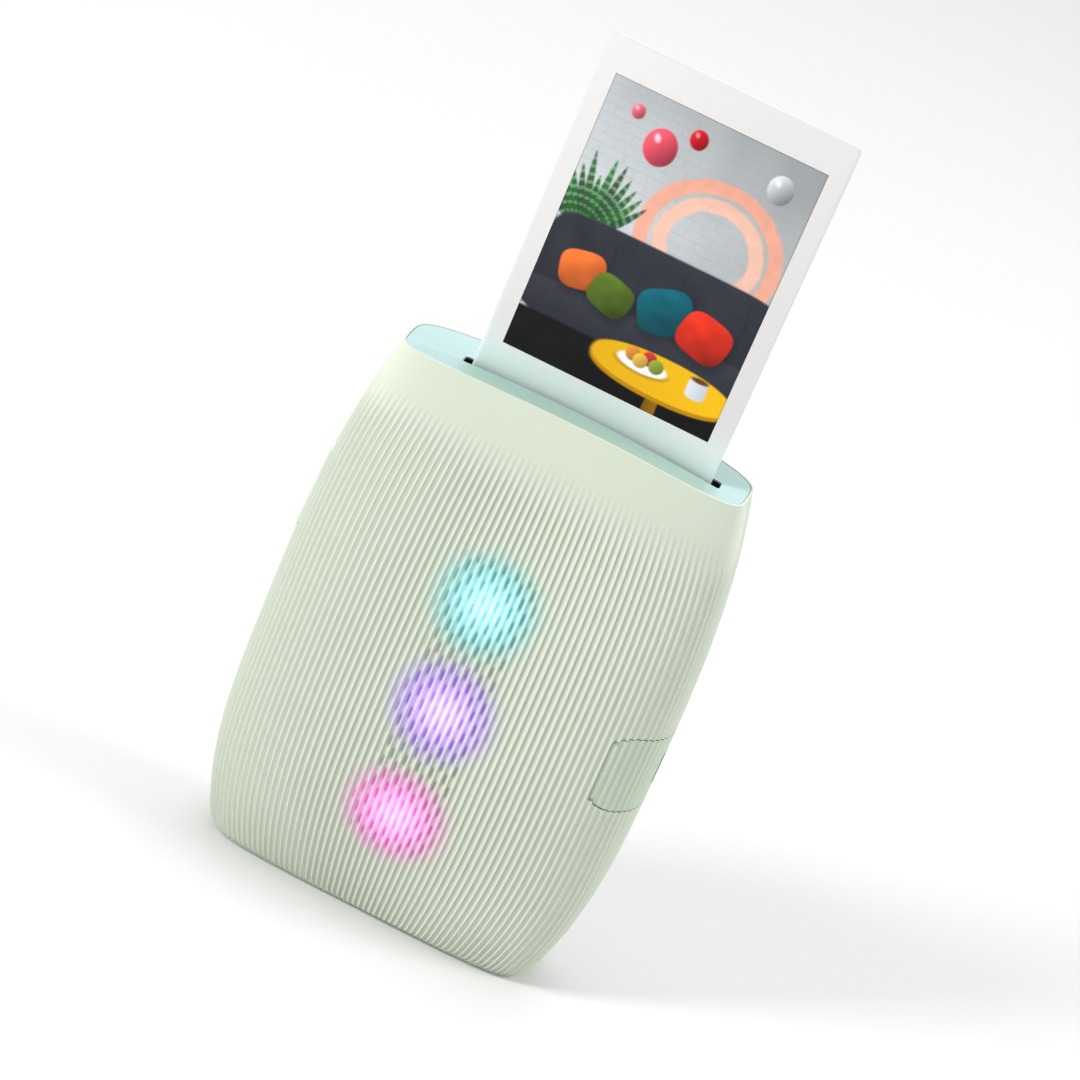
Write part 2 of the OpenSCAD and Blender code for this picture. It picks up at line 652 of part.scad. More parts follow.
// chip places: X, Z, width, height and thickness
chips = [[-18, 70, 10, 10, 1], [-17, 50, 8, 6, 0.8], [17, 68, 7, 9, 0.9], [18, 44, 9, 7, 1],
  [-16, 36, 5, 5, 0.7], [16, 32, 6, 4, 0.8]];
module board_chips() color("#26282a") {
  for (c = chips) span([c[0] - c[2] / 2, board_front - c[4], c[1] - c[3] / 2],
    [c[0] + c[2] / 2, board_front, c[1] + c[3] / 2]);
}
module board_screws() color("#b9bcc0") {
  for (x = [-1, 1]) for (z = [board_z0 + screw_inset.y, board_z1 - screw_inset.y + 0.5]) {
    rod_y(board_front - 0.7, board_front, x * (board_w / 2 - screw_inset.x), z, 1.2);
    rod_y(board_front - 0.1, board_back + 3, x * (board_w / 2 - screw_inset.x), z, 0.5);
  }
}
module battery() color("#8fa7b8") {
  translate([0, frame_front, (board_z0 + board_z1) / 2 + 0.5]) rotate([90, 0, 0])
    linear_extrude(battery_t) rounded_rect(board_w - 11, board_z1 - board_z0 - 16, 2);
}
guide_levels = [guide_z + guide_pitch, guide_z, guide_z - guide_pitch];
module led_chips() color("#f2f2ec") {
  for (z = guide_levels) panel_y(board_front - led_t, board_front, guide_x, z, 5, 5, 0.6);
}
module glow_guide(z) {
  one_mesh() intersection() {
    translate([guide_x, board_front - led_t - 0.1, z]) rotate([90, 0, 0])
      cylinder(h = 20, r = guide_r, $fn = 40);
    front_inside(wall + 0.3);
  }
}
module guide_legs(z) {
  for (a = [90, 210, 330])
    rod_y(board_front - led_t - 0.2, board_front, guide_x + 6.5 * cos(a), z + 6.5 * sin(a), 0.8);
}
module glow_guide_upper() color("#7fe3e3") {
  glow_guide(guide_levels[0]);
  guide_legs(guide_levels[0]);
}
module glow_guide_middle() color("#b593ee") {
  glow_guide(guide_levels[1]);
  guide_legs(guide_levels[1]);
}
module glow_guide_lower() color("#f078d0") {
  glow_guide(guide_levels[2]);
  guide_legs(guide_levels[2]);
}
socket_x = side_x(socket_y, port_z) - wall - 0.7;
module usb_socket() color("#b4b8bc") {
  difference() {
    block_x(frame_right + 0.5, socket_x, socket_y, port_z, 3.2, 9, 1.2);
    block_x(frame_right + 1, socket_x + 1, socket_y, port_z, 2.6, 8.4, 0.9);
  }
  block_x(frame_right + 0.7, socket_x - 0.6, socket_y, port_z, 0.7, 6.6, 0.2);
}
module usb_board() color("#2f6b4a") {
  span([frame_right, socket_y + 1.6, port_z - 9], [socket_x - 0.4, socket_y + 1.6 + board_t, port_z + 9]);
}
flange_rim = 0.9;
flange_t = 0.8;
flange_x = wall + 0.3
  - side_x(button_y - button_w / 2 - flange_rim, button_z + button_l / 2 + flange_rim);
switch_t = 1.2;
plunger_x = flange_x + flange_t + button_travel + 0.2;
switch_x = plunger_x + 0.5 + switch_t;
module power_switch() color("#1f2122") {
  block_x(switch_x - switch_t, switch_x, button_y, button_z, 4, 5.6, 0.4);
  rod_x(plunger_x, switch_x - switch_t + 0.1, button_y, button_z, 1);
}
module shell_screws() color("#9a9da1") {
  for (p = lugs) {
    rod_y(lug_y + lug_t, lug_y + lug_t + 1.2, p.x, p.y, 1.9);
    rod_y(-screw_tip(p), lug_y + lug_t + 0.1, p.x, p.y, 0.8);
  }
}

// ================= film =================
module film_cassette() color("#2c2f31") difference() {
  span([film_x - pack_w / 2, pack_front, pack_z], [film_x + pack_w / 2, pack_back, pack_top]);
  span([film_x - pack_w / 2 + pack_wall, pack_front + pack_wall, pack_z + pack_wall],
    [film_x + pack_w / 2 - pack_wall, pack_back - pack_wall, pack_top - pack_wall]);
  // light opening in the front
  panel_y(pack_front - 1, pack_front + pack_wall + 0.1, film_x, pack_z + pack_h / 2 + 5,
    film_w - 7, film_h - 23, 1);
  // way out of the sheets
  span([film_x - film_w / 2 - 0.6, film_y - 0.5, pack_top - 2],
    [film_x + film_w / 2 + 0.6, film_y + 0.5, pack_top + 1]);
}
module film_stack() color("#e9ebe8") {
  span([film_x - film_w / 2, pack_front + pack_wall + 0.1, pack_z + pack_wall + 0.1],
    [film_x + film_w / 2, pack_front + pack_wall + 0.1 + stack_t, pack_z + pack_wall + 0.1 + film_h]);
}
module claw_pins() color("#c3c6ca") {
  for (z = claw_pins_z) {
    rod_x(claw_x - claw_t, frame_left + 0.6, claw_y, z, claw_pin_r);
    rod_x(claw_x - claw_t - 0.6, claw_x - claw_t, claw_y, z, claw_pin_r + 0.8);
  }
}
module claw_spring() color("#cfd2d5") {
  translate([frame_left - 2.6, claw_y, claw_top + 0.05]) coil(claw_seat_z - claw_top - 0.1, 0.95, 0.2, 5);
}

// ================= film door =================
module film_door() color("#cfdbca") one_mesh() difference() {
  intersection() {
    rear_outside();
    door_prism(0);
  }
  rear_inside(door_wall);
  span([film_x - latch_w / 2 - 0.2, 5, latch_z - latch_h / 2 - latch_travel - 0.2],
    [film_x + latch_w / 2 + 0.2, 25, latch_z + latch_h / 2 + 0.2]);
  span([film_x - barrel_w / 2 - ear_w - 0.6, 5, 0],
    [film_x + barrel_w / 2 + ear_w + 0.6, 25, hinge_z + barrel_r + 0.4]);
}
module door_hinge_leaf() color("#aeb9ab") difference() {
  leaf_y = pack_back + 0.4;
  union() {
    rod_x(film_x - barrel_w / 2, film_x + barrel_w / 2, hinge_y, hinge_z, barrel_r);
    span([film_x - barrel_w / 2, leaf_y, hinge_z - 0.6], [film_x + barrel_w / 2, hinge_y, hinge_z + 1.3]);
    span([film_x - barrel_w / 2, leaf_y, hinge_z], [film_x + barrel_w / 2, leaf_y + 1.4, liner_z0 - 0.2]);
  }
  rod_x(film_x - barrel_w, film_x + barrel_w, hinge_y, hinge_z, pin_r + run_gap);
}
pad_x = pack_w / 2 - 6.5;
liner_pads = [for (x = [-pad_x, pad_x]) for (z = [liner_z0 + 8, liner_z1 - 6]) [film_x + x, z]];
module door_liner() color("#53585a") {
  panel_y(liner_y, liner_y + liner_t, film_x, (liner_z0 + liner_z1) / 2, pack_w - 3,
    liner_z1 - liner_z0, 3);
  for (p = liner_pads)
    rod_y(liner_y + 0.5, face_y(abs(p.x) + 2, p.y) - door_wall - 0.6, p.x, p.y, 2);
  // seat of the latch spring
  span([film_x - 3, liner_y + 0.2, spring_seat_z - 1], [film_x + 3, latch_back + 0.6, spring_seat_z]);
  span([film_x - 3, liner_y, liner_z1 - 1], [film_x + 3, liner_y + liner_t, spring_seat_z]);
}
module leaf_spring(x) {
  t = 0.25;
  rise = 0.5;
  y = liner_y;
  mid = (liner_z0 + liner_z1) / 2;
  translate([x - 4, 0, 0]) rotate([90, 0, 90]) linear_extrude(8)
    polygon([[y, mid - 22], [y, mid - 16], [y - rise, mid - 5], [y - rise, mid + 5], [y, mid + 16],
      [y, mid + 22], [y - t, mid + 22], [y - t, mid + 16.2], [y - rise - t, mid + 5.2],
      [y - rise - t, mid - 5.2], [y - t, mid - 16.2], [y - t, mid - 22]]);
}
module pack_springs() color("#c9ccd0") {
  for (x = [film_x - 15, film_x + 15]) leaf_spring(x);
}
module door_latch() color("#b9c8b6") one_mesh() {
  difference() {
    intersection() {
      mirror([0, 1, 0]) front_grown(latch_proud);
      span([film_x - latch_w / 2, latch_front, latch_z - latch_h / 2],
        [film_x + latch_w / 2, 30, latch_z + latch_h / 2]);
    }
    for (z = [-1.3, 0, 1.3])
      span([film_x - latch_w / 2 + 2, half_d(latch_z) + 0.15, latch_z + z - 0.3],
        [film_x + latch_w / 2 - 2, 30, latch_z + z + 0.3]);
  }
  span([film_x - latch_w / 2 - 1.8, latch_front, latch_foot],
    [film_x + latch_w / 2 + 1.8, latch_back, door_z1 - 0.4]);
  span([film_x - latch_w / 3, latch_front, door_z1 - 0.5], [film_x + latch_w / 3, latch_back, door_z1 + 2]);
}
module latch_spring() color("#cfd2d5") {
  translate([film_x, (latch_front + latch_back) / 2, spring_seat_z + 0.05])
    coil(latch_foot - spring_seat_z - 0.1, 0.95, 0.2, 5);
}

// ================= button and port cover =================
module power_button() color("#c5d8d0") one_mesh() {
  intersection() {
    front_grown(button_proud);
    button_pill(-60, flange_x + 0.4, 0);
  }
  button_pill(flange_x, flange_x + flange_t, flange_rim);
}
module port_cover() color("#cdd9c6") one_mesh() difference() {
  intersection() {
    half_loft(outer_rings, 2 * ribs, rib_depth);
    port_cut(0);
  }
  front_inside(port_wall);
  // nail notch
  span([38, -0.75, port_z - notch_l / 2], [60, 1, port_z + notch_l / 2]);
}

// ================= rollers and gears =================
module roller(axis) {
  rod_x(shaft_left, shaft_right, axis.x, axis.y, shaft_r);
}
module sleeve(axis) {
  difference() {
    rod_x(film_x - film_w / 2, film_x + film_w / 2, axis.x, axis.y, roller_r);
    rod_x(film_x - film_w, film_x + film_w, axis.x, axis.y, shaft_r + 0.01);
  }
}
module rear_roller() color("#b9bcc0") roller(rear_axis);
module front_roller() color("#b9bcc0") roller(front_axis);
module rear_roller_sleeve() color("#2b2c2d") sleeve(rear_axis);
module front_roller_sleeve() color("#2b2c2d") sleeve(front_axis);
module rear_roller_gear() color("#e6e4da") {
  wheel(inner_gear_x, rear_axis, roller_teeth, rear_angle, shaft_r + 0.01);
}
module front_roller_gear() color("#e6e4da") {
  wheel(inner_gear_x, front_axis, roller_teeth, front_angle, shaft_r + 0.01);
}
pin_bore = gear_pin_r + run_gap;
module idler_gear() color("#efece2") {
  wheel(inner_gear_x, idler_axis, idler_teeth, idler_angle, pin_bore);
  hub(outer_gear_x, inner_gear_x + 0.01, idler_axis, hub_r, pin_bore);
}
module second_gear() color("#efece2") {
  wheel(inner_gear_x, second_axis, second_small, second_angle, pin_bore);
  hub(outer_gear_x + gear_t - 0.01, inner_gear_x + 0.01, second_axis, hub_r, pin_bore);
  wheel(outer_gear_x, second_axis, second_big, 0, pin_bore);
}
module first_gear() color("#efece2") {
  wheel(inner_gear_x, first_axis, first_big, 0, pin_bore);
  hub(outer_gear_x + gear_t - 0.01, inner_gear_x + 0.01, first_axis, hub_r, pin_bore);
  wheel(outer_gear_x, first_axis, first_small, first_angle, pin_bore);
}
module motor_pinion() color("#c9a24a") {
  wheel(inner_gear_x, pinion_axis, pinion_teeth, pinion_angle, 0);
  rod_x(plate_x - 3, inner_gear_x + 0.01, pinion_axis.x, pinion_axis.y, motor_shaft_r);
}

// ================= pick claw and print =================
module pick_claw() color("#b4b8bc") difference() {
  union() {
    span([claw_x - claw_t, claw_y - claw_w / 2, claw_z0], [claw_x, claw_y + claw_w / 2, claw_top]);
    span([claw_x - 0.1, claw_y - 0.8, claw_z0], [frame_left + frame_wall + 0.25, claw_y + 1, claw_z0 + 2]);
    span([frame_left - 3.9, claw_y - 1.5, claw_top - 0.8], [claw_x, claw_y + 1.5, claw_top]);
  }
  for (z = claw_pins_z) {
    span([claw_x - 2, claw_y - claw_pin_r - 0.1, z - claw_travel],
      [claw_x + 1, claw_y + claw_pin_r + 0.1, z]);
    for (e = [0, claw_travel]) rod_x(claw_x - 2, claw_x + 1, claw_y, z - e, claw_pin_r + 0.1);
  }
}
module instant_print() color("#f4f5f2") {
  panel_y(film_y - film_t / 2, film_y + film_t / 2, film_x, film_bottom_z() + film_h / 2,
    film_w, film_h, 1.2);
}

front_shell();
rear_shell();
top_cap();
port_bezel();
chassis();
hinge_pin();
chamber_seal();
slot_seal();
roller_bushes();
gear_plate();
gear_pins();
motor();
exposure_head();
head_lens();
head_cable();
main_board();
board_chips();
board_screws();
battery();
led_chips();
glow_guide_upper();
glow_guide_middle();
glow_guide_lower();
usb_socket();
usb_board();
power_switch();
shell_screws();
film_cassette();
film_stack();
claw_pins();
claw_spring();
film_door();
door_hinge_leaf();
door_liner();
pack_springs();
door_latch();
latch_spring();
power_button();
port_cover();
rear_roller();
rear_roller_sleeve();
rear_roller_gear();
front_roller();
front_roller_sleeve();
front_roller_gear();
idler_gear();
second_gear();
first_gear();
motor_pinion();
pick_claw();
instant_print();
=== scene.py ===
# %% [markdown]
# # A compact photo printer
# This lesson dresses a hand-held printer for instant film. Its solids, joints and sizes come from a
# packed model, which is loaded here as a fixed frame. Every visible piece is then made finer in the
# same place. Lengths are worked out in millimetres and turned into metres when a mesh is made, so
# the numbers are the ones that a maker would read off a drawing.
# %% Load the frame
import math

import bmesh
import bpy
import numpy as np
from mathutils import Matrix, Vector


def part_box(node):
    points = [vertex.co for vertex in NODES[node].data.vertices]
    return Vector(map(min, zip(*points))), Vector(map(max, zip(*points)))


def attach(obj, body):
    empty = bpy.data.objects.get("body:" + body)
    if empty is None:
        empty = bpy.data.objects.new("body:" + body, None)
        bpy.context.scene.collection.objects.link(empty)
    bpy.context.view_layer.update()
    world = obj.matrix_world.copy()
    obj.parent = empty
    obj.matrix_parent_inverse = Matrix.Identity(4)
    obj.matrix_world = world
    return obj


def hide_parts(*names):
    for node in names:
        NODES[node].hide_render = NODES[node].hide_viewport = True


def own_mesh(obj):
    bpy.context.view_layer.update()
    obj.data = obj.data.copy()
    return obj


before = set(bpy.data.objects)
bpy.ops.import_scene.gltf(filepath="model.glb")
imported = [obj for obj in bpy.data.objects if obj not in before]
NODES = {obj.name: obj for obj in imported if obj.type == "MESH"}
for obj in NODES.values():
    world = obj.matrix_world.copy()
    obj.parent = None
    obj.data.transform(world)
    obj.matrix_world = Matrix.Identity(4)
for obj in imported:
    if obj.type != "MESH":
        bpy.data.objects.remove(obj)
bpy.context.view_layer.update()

MM = 0.001

# %% [markdown]
# # Camera
# The camera stands a little above the printer and is rolled, so the printer leans to the right in
# the view while it stands upright on the floor. Its place could be found by eye. It was solved from
# the outline instead, which is exact. A long lens keeps the sides nearly parallel.
# %% Camera
def place_camera(azimuth, elevation, roll, distance, look_at, lens):
    """Camera on a sphere round look_at: back = (sin a cos e, -cos a cos e, sin e), turned by roll."""
    a, e, t = (math.radians(v) for v in (azimuth, elevation, roll))
    back = np.array([math.sin(a) * math.cos(e), -math.cos(a) * math.cos(e), math.sin(e)])
    right = np.cross(-back, [0, 0, 1])
    right /= np.linalg.norm(right)
    above = np.cross(right, -back)
    x = math.cos(t) * right + math.sin(t) * above
    y = -math.sin(t) * right + math.cos(t) * above
    data = bpy.data.cameras.new("camera")
    data.lens, data.sensor_width = lens, 36
    data.clip_start, data.clip_end = 0.01, 20
    camera = bpy.data.objects.new("camera", data)
    bpy.context.scene.collection.objects.link(camera)
    world = np.eye(4)
    world[:3] = np.c_[x, y, back, np.array(look_at) + back * distance]
    camera.matrix_world = Matrix(world.tolist())
    bpy.context.scene.camera = camera
    print("camera at", world[:3, 3].round(3), "with a lens of", lens, "mm")


place_camera(azimuth=6.144, elevation=26.33, roll=23.638, distance=0.82759,
             look_at=(0.003087, 0, 0.09358), lens=134.43)

# %% [markdown]
# # The shape of the body
# The body is a barrel: its width and depth shrink from the waist to both ends by power laws. Each
# level is a superellipse, round at the waist and squarer at the ends. A subdivided cage could come
# close, but formulas with the same few numbers as the solids make skins that lie exactly on them.
# %% Body shape
BODY_H, WAIST = 124.8, 50.3
BODY_W, BODY_D, TOP_W, TOP_D, BASE_W, BASE_D = 90, 37.2, 76.9, 20.2, 75.2, 19.8
WIDTH_POWER, DEPTH_POWER, CROWN_POWER = 2.9, 1.8, 6
CROWN, BASE_ROUND, BASE_EDGE = 1.9, 3.4, 1.6


def up(z):
    """Share of the way from the waist to the top, and 0 below the waist."""
    return np.clip((z - WAIST) / (BODY_H - WAIST), 0, None)


def down(z):
    """Share of the way from the waist to the base, and 0 above the waist."""
    return np.clip((WAIST - z) / WAIST, 0, None)


def half_w(z):
    """Half the width at a height: the waist's, less a power of the way to each end."""
    return (BODY_W / 2 - (BODY_W - TOP_W) / 2 * up(z) ** WIDTH_POWER
            - (BODY_W - BASE_W) / 2 * down(z) ** WIDTH_POWER)


def half_d(z):
    """Half the depth at a height: the waist's, less a power of the way to each end."""
    return (BODY_D / 2 - (BODY_D - TOP_D) / 2 * up(z) ** DEPTH_POWER
            - (BODY_D - BASE_D) / 2 * down(z) ** DEPTH_POWER)


def squareness(z):
    """Superellipse power: 2.5 at the waist and 4.4 at the ends."""
    return 2.5 + 1.9 * (up(z) ** 2 + down(z) ** 2)


def crown(x, z):
    """Drop of the crowned top: grows with the square of x and fades fast below the top."""
    return CROWN * (2 * x / TOP_W) ** 2 * (np.clip(z, 0, None) / BODY_H) ** CROWN_POWER


print("level at the waist", (2 * half_w(WAIST)).round(1), "by", (2 * half_d(WAIST)).round(1), "mm")

# %% [markdown]
# # A point of the skin
# Every outer and inner surface is one function of an angle round the body and a height. Moving a
# point in along the normal of its level gives walls of even thickness, which scaling would not.
# %% Skin
def skin(w, z, inset):
    """Point of the body at angle w (degrees) and height z, moved in by inset along the level's normal."""
    w, z, inset = np.broadcast_arrays(np.radians(w), np.asarray(z, float), np.asarray(inset, float))
    a, b, n = half_w(z), half_d(z), squareness(z)
    c, s = np.cos(w), np.sin(w)
    k = (abs(c) ** n + abs(s) ** n) ** (-1 / n)
    u, v = c * k, s * k
    gx = np.sign(u) * abs(u) ** (n - 1) / a
    gy = np.sign(v) * abs(v) ** (n - 1) / b
    length = np.hypot(gx, gy)
    gx, gy = gx / length, gy / length
    # the rounding of the base: a quarter circle of radius r, wider at the sides than at the front
    r = BASE_EDGE + (BASE_ROUND - BASE_EDGE) * gx * gx
    low = np.clip(r - z, 0, None)
    d = inset + np.where(z < r, r - np.sqrt(np.clip(r * r - low * low, 0, None)), 0)
    x = a * u - gx * d
    return np.stack([x, b * v - gy * d, z - crown(x, z)], -1)


print("foot of the front", skin(270, 0, 0).round(2), "and its top", skin(270, BODY_H, 0).round(2))

# %% [markdown]
# # Ribs
# Fine upright ribs cover the front half and fade out towards the top. Every level has the same
# number, so they draw together where the body narrows. Angles that part a level into equal lengths
# are looked up in a table of summed chords, because equal angles would crowd the ribs at the sides.
# %% Ribs
RIBS, RIB_DEPTH, RIB_CUSP = 70, 0.4, 0.16
FADE_Z, FADE_H, FOOT_FADE = 104, 13, 0.3
FINE_STEPS = 720
FINE = np.linspace(180, 360, FINE_STEPS + 1)


def arc_share(z):
    """Share of the way round the front at each fine angle of each level: summed chords over their total."""
    p = skin(FINE, np.asarray(z, float)[:, None], 0)
    s = np.cumsum(np.linalg.norm(np.diff(p, axis=1), axis=2), axis=1)
    s = np.concatenate([np.zeros((len(s), 1)), s], 1)
    return s / s[:, -1:]


def front_angles(columns, z=(WAIST,)):
    """Angles that part the front of each level into equal lengths, one row for each level."""
    even = np.linspace(0, 1, columns + 1)
    return np.array([np.interp(even, row, FINE) for row in arc_share(z)])


def rib_fade(z):
    """1 where ribs are full, smoothly 0 above the fade, t^2 (3 - 2 t), and 0 at the base."""
    t = np.clip((z - FADE_Z) / FADE_H, 0, 1)
    return (1 - t * t * (3 - 2 * t)) * np.clip(z / FOOT_FADE, 0, 1)


def rib_profile(phase):
    """0 on a crest and 1 in a valley: a rectified sine, whose cusps are rounded by a small radius."""
    e = RIB_CUSP
    return (np.sqrt(np.sin(np.pi * phase) ** 2 + e * e) - e) / (math.hypot(1, e) - e)


front_length = np.linalg.norm(np.diff(skin(FINE, WAIST, 0), axis=0), axis=1).sum()
print("a rib is", (front_length / RIBS).round(2), "mm wide at the waist")

# %% [markdown]
# # Solids from rings
# A closed body is a stack of rings of points, joined by quads and shut by one face at each end. That
# is how a maker lofts a form through its sections, and it leaves no seam to weld.
# %% Solids from rings
def new_object(name, verts, faces):
    """Object from points in millimetres and a list or array of faces."""
    mesh = bpy.data.meshes.new(name)
    mesh.from_pydata(np.asarray(verts, float).tolist(), [], [list(map(int, f)) for f in faces])
    mesh.validate()
    obj = bpy.data.objects.new(name, mesh)
    bpy.context.scene.collection.objects.link(obj)
    return obj


def outward(obj):
    """Turns every face of a closed mesh outward."""
    bm = bmesh.new()
    bm.from_mesh(obj.data)
    bmesh.ops.recalc_face_normals(bm, faces=bm.faces)
    bm.to_mesh(obj.data)
    bm.free()
    return obj


def ring_faces(rows, columns, closed=True, looped=False):
    """Quads between neighbouring rings of points; looped also joins the last ring to the first."""
    k, j = np.meshgrid(np.arange(rows if looped else rows - 1),
                       np.arange(columns if closed else columns - 1), indexing="ij")
    k2, j2 = (k + 1) % rows, (j + 1) % columns
    return np.stack([k * columns + j, k * columns + j2, k2 * columns + j2, k2 * columns + j],
                    -1).reshape(-1, 4)


def stack(name, rings):
    """Closed solid from rings of points (rows, columns, 3), shut by one face at each end."""
    rows, columns = rings.shape[:2]
    faces = ring_faces(rows, columns).tolist()
    faces.append(list(range(columns))[::-1])
    faces.append([(rows - 1) * columns + i for i in range(columns)])
    return outward(new_object(name, rings.reshape(-1, 3), faces))


print("a quad has the corners", ring_faces(2, 4)[0])

# %% [markdown]
# # Outlines and prisms
# Openings and small parts have flat outlines, mostly rectangles with round corners. An outline is
# laid at one place along an axis or drawn out between two, into a solid that can serve as a tool.
# %% Outlines
def lift(outline, axis, at):
    """Points of a flat outline at one place along an axis, which may differ from point to point."""
    c = np.broadcast_to(np.asarray(at, float), len(outline))
    p, q = outline.T
    return np.c_[{"X": (c, p, q), "Y": (p, c, q), "Z": (p, q, c)}[axis]]


def prism(name, outline, axis, low, high):
    """Straight solid with a flat outline. Axis is the letter of the direction it is drawn along."""
    p = np.asarray(outline, float)
    return stack(name, np.array([lift(p, axis, low), lift(p, axis, high)]))


def rounded(cx, cy, w, h, r, steps=10):
    """Outline of a rounded rectangle, anticlockwise: four quarter circles, joined by straight sides."""
    t = np.radians(np.linspace(0, 90, steps))
    out = []
    for sx, sy, a in ((1, 1, 0), (-1, 1, 90), (-1, -1, 180), (1, -1, 270)):
        q = t + math.radians(a)
        out.append(np.c_[cx + sx * (w / 2 - r) + r * np.cos(q), cy + sy * (h / 2 - r) + r * np.sin(q)])
    return np.concatenate(out)


def quarter_round(radius, steps=6):
    """Pairs (in, down) over a rounded edge, from its side to its top: r (1 - cos a), r (1 - sin a)."""
    angles = np.linspace(0, np.pi / 2, steps)
    return [(radius * (1 - math.cos(a)), radius * (1 - math.sin(a))) for a in angles]


def about(middle, half):
    """The two limits at equal distances from a middle."""
    return middle - half, middle + half


print("a rounded square has", len(rounded(0, 0, 10, 10, 2)), "points")

# %% [markdown]
# # Cut, shade and hang a piece
# Pieces are cut from larger forms with exact solids, the way the moulds of the real shells meet.
# Loose boolean modifiers would do the same, but a cut that is applied at once leaves a plain mesh.
# A finished piece then gets its finish, rides a body of the frame and replaces its solid.
# %% Cut and hang
# reach of a cutting tool past every side of the body, and width, height and middle height of a large one
PAST, TOOL_W, TOOL_H, TOOL_Z = 60, 160, 200, 60


def block(x, y, z):
    """Plain box between three pairs of limits, as a cutting tool."""
    outline = [(x[0], y[0]), (x[1], y[0]), (x[1], y[1]), (x[0], y[1])]
    return prism("block", outline, "Z", *z)


def half_space(front, at):
    """Large block in front of or behind a plane of constant depth."""
    y = (-PAST, at) if front else (at, PAST)
    return prism("block", rounded(0, TOOL_Z, TOOL_W, TOOL_H, 1, 2), "Y", *y)


def cut(obj, tools, operation="DIFFERENCE"):
    """Applies solid cuts, one after another, and removes the tools."""
    for tool in tools:
        m = obj.modifiers.new("cut", "BOOLEAN")
        m.operation, m.solver, m.object = operation, "MANIFOLD", tool
        bpy.context.view_layer.update()
        made = bpy.data.meshes.new_from_object(obj.evaluated_get(bpy.context.evaluated_depsgraph_get()))
        obj.modifiers.clear()
        old, obj.data = obj.data, made
        bpy.data.meshes.remove(old)
        bpy.data.objects.remove(tool)
    if not len(obj.data.polygons):
        raise RuntimeError(obj.name + " came out empty")


def done(obj, body, finish, nodes=(), angle=38):
    """Turns millimetres into metres, shades smooth up to an angle, paints and hangs a piece on its body."""
    co = np.empty(len(obj.data.vertices) * 3, np.float32)
    obj.data.vertices.foreach_get("co", co)
    obj.data.vertices.foreach_set("co", co * MM)
    obj.data.update()
    obj.data.shade_smooth()
    obj.data.set_sharp_from_angle(angle=math.radians(angle))
    obj.data.materials.clear()
    obj.data.materials.append(finish)
    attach(obj, body)
    if nodes:
        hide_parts(*nodes)
    print(obj.name, len(obj.data.polygons), "faces")


print("cutting tools reach", PAST, "mm")

# %% [markdown]
# # Node helpers
# Every finish is made of nodes in object coordinates, so it needs no flat layout of the surface. A
# node tree written out line by line is long, so a small class adds nodes and links them in one go.
# %% Node helpers
class Tree:
    """A short way to build one node tree."""

    def __init__(self, tree):
        self.t = tree

    def add(self, kind, inputs=None, **props):
        """Adds a node. Inputs maps a socket name or number to a value or another node's output."""
        node = self.t.nodes.new(kind)
        for k, v in props.items():
            setattr(node, k, v)
        for k, v in (inputs or {}).items():
            self.put(node.inputs[k], v)
        return node

    def put(self, socket, v):
        """Sets a socket, or links it where the value is an output."""
        if isinstance(v, bpy.types.NodeSocket):
            self.t.links.new(v, socket)
        elif isinstance(v, (tuple, list)) and socket.type == "RGBA" and len(v) == 3:
            socket.default_value = (*v, 1)
        else:
            socket.default_value = v

    def math(self, op, a, b=0.0):
        """One math node's output."""
        return self.add("ShaderNodeMath", {0: a, 1: b}, operation=op).outputs[0]

    def times(self, *values):
        """Product of several values, from left to right."""
        out = values[0]
        for v in values[1:]:
            out = self.math("MULTIPLY", out, v)
        return out

    def gap(self, a, b):
        """Distance between two values: |a - b|."""
        return self.math("ABSOLUTE", self.math("SUBTRACT", a, b))

    def mix(self, share, a, b, kind="MIX"):
        """Mixes two colours."""
        n = self.add("ShaderNodeMix", data_type="RGBA", blend_type=kind)
        self.put(n.inputs[0], share)
        self.put(n.inputs[6], a)
        self.put(n.inputs[7], b)
        return n.outputs[2]

    def span(self, v, low, high, a=0.0, b=1.0, smooth=True):
        """Maps low..high to a..b."""
        n = self.add("ShaderNodeMapRange", {"Value": v, "From Min": low, "From Max": high,
                                            "To Min": a, "To Max": b})
        n.interpolation_type = "SMOOTHSTEP" if smooth else "LINEAR"
        return n.outputs[0]

    def place(self):
        """Place on the piece, in metres, as a vector."""
        return self.add("ShaderNodeTexCoord").outputs["Object"]

    def xyz(self):
        """Place on the piece as three numbers."""
        return self.add("ShaderNodeSeparateXYZ", {0: self.place()}).outputs


print("node helpers", [n for n in vars(Tree) if not n.startswith("_")])

# %% [markdown]
# # Colours
# Colours are picked as they look on a screen, and shaders reckon in linear light, so each is turned
# over by the curve of the screen. A colour that is typed in without this comes out too pale.
# %% Colours
BLACK, WHITE = (0.0, 0.0, 0.0), (1.0, 1.0, 1.0)


def linear(c):
    """Linear light from screen values 0..1: c / 12.92 when dark, else ((c + 0.055) / 1.055)^2.4."""
    return np.where(c <= 0.04045, c / 12.92, ((c + 0.055) / 1.055) ** 2.4)


def srgb(r, g, b):
    """Linear colour from 8-bit screen values."""
    return tuple(float(v) for v in linear(np.array([r, g, b]) / 255))


print("middle grey is", round(srgb(128, 128, 128)[0], 3), "in linear light")

# %% [markdown]
# # Shared effects
# Moulded plastic has a very fine grain, a slow change of tone and faint scuffs. A light behind a
# thin wall makes a soft spot. Both are node groups, because the grain is in every finish and the
# spot comes three times over, and a group is built only once.
# %% Shared effects
FLOAT, VECTOR = "NodeSocketFloat", "NodeSocketVector"


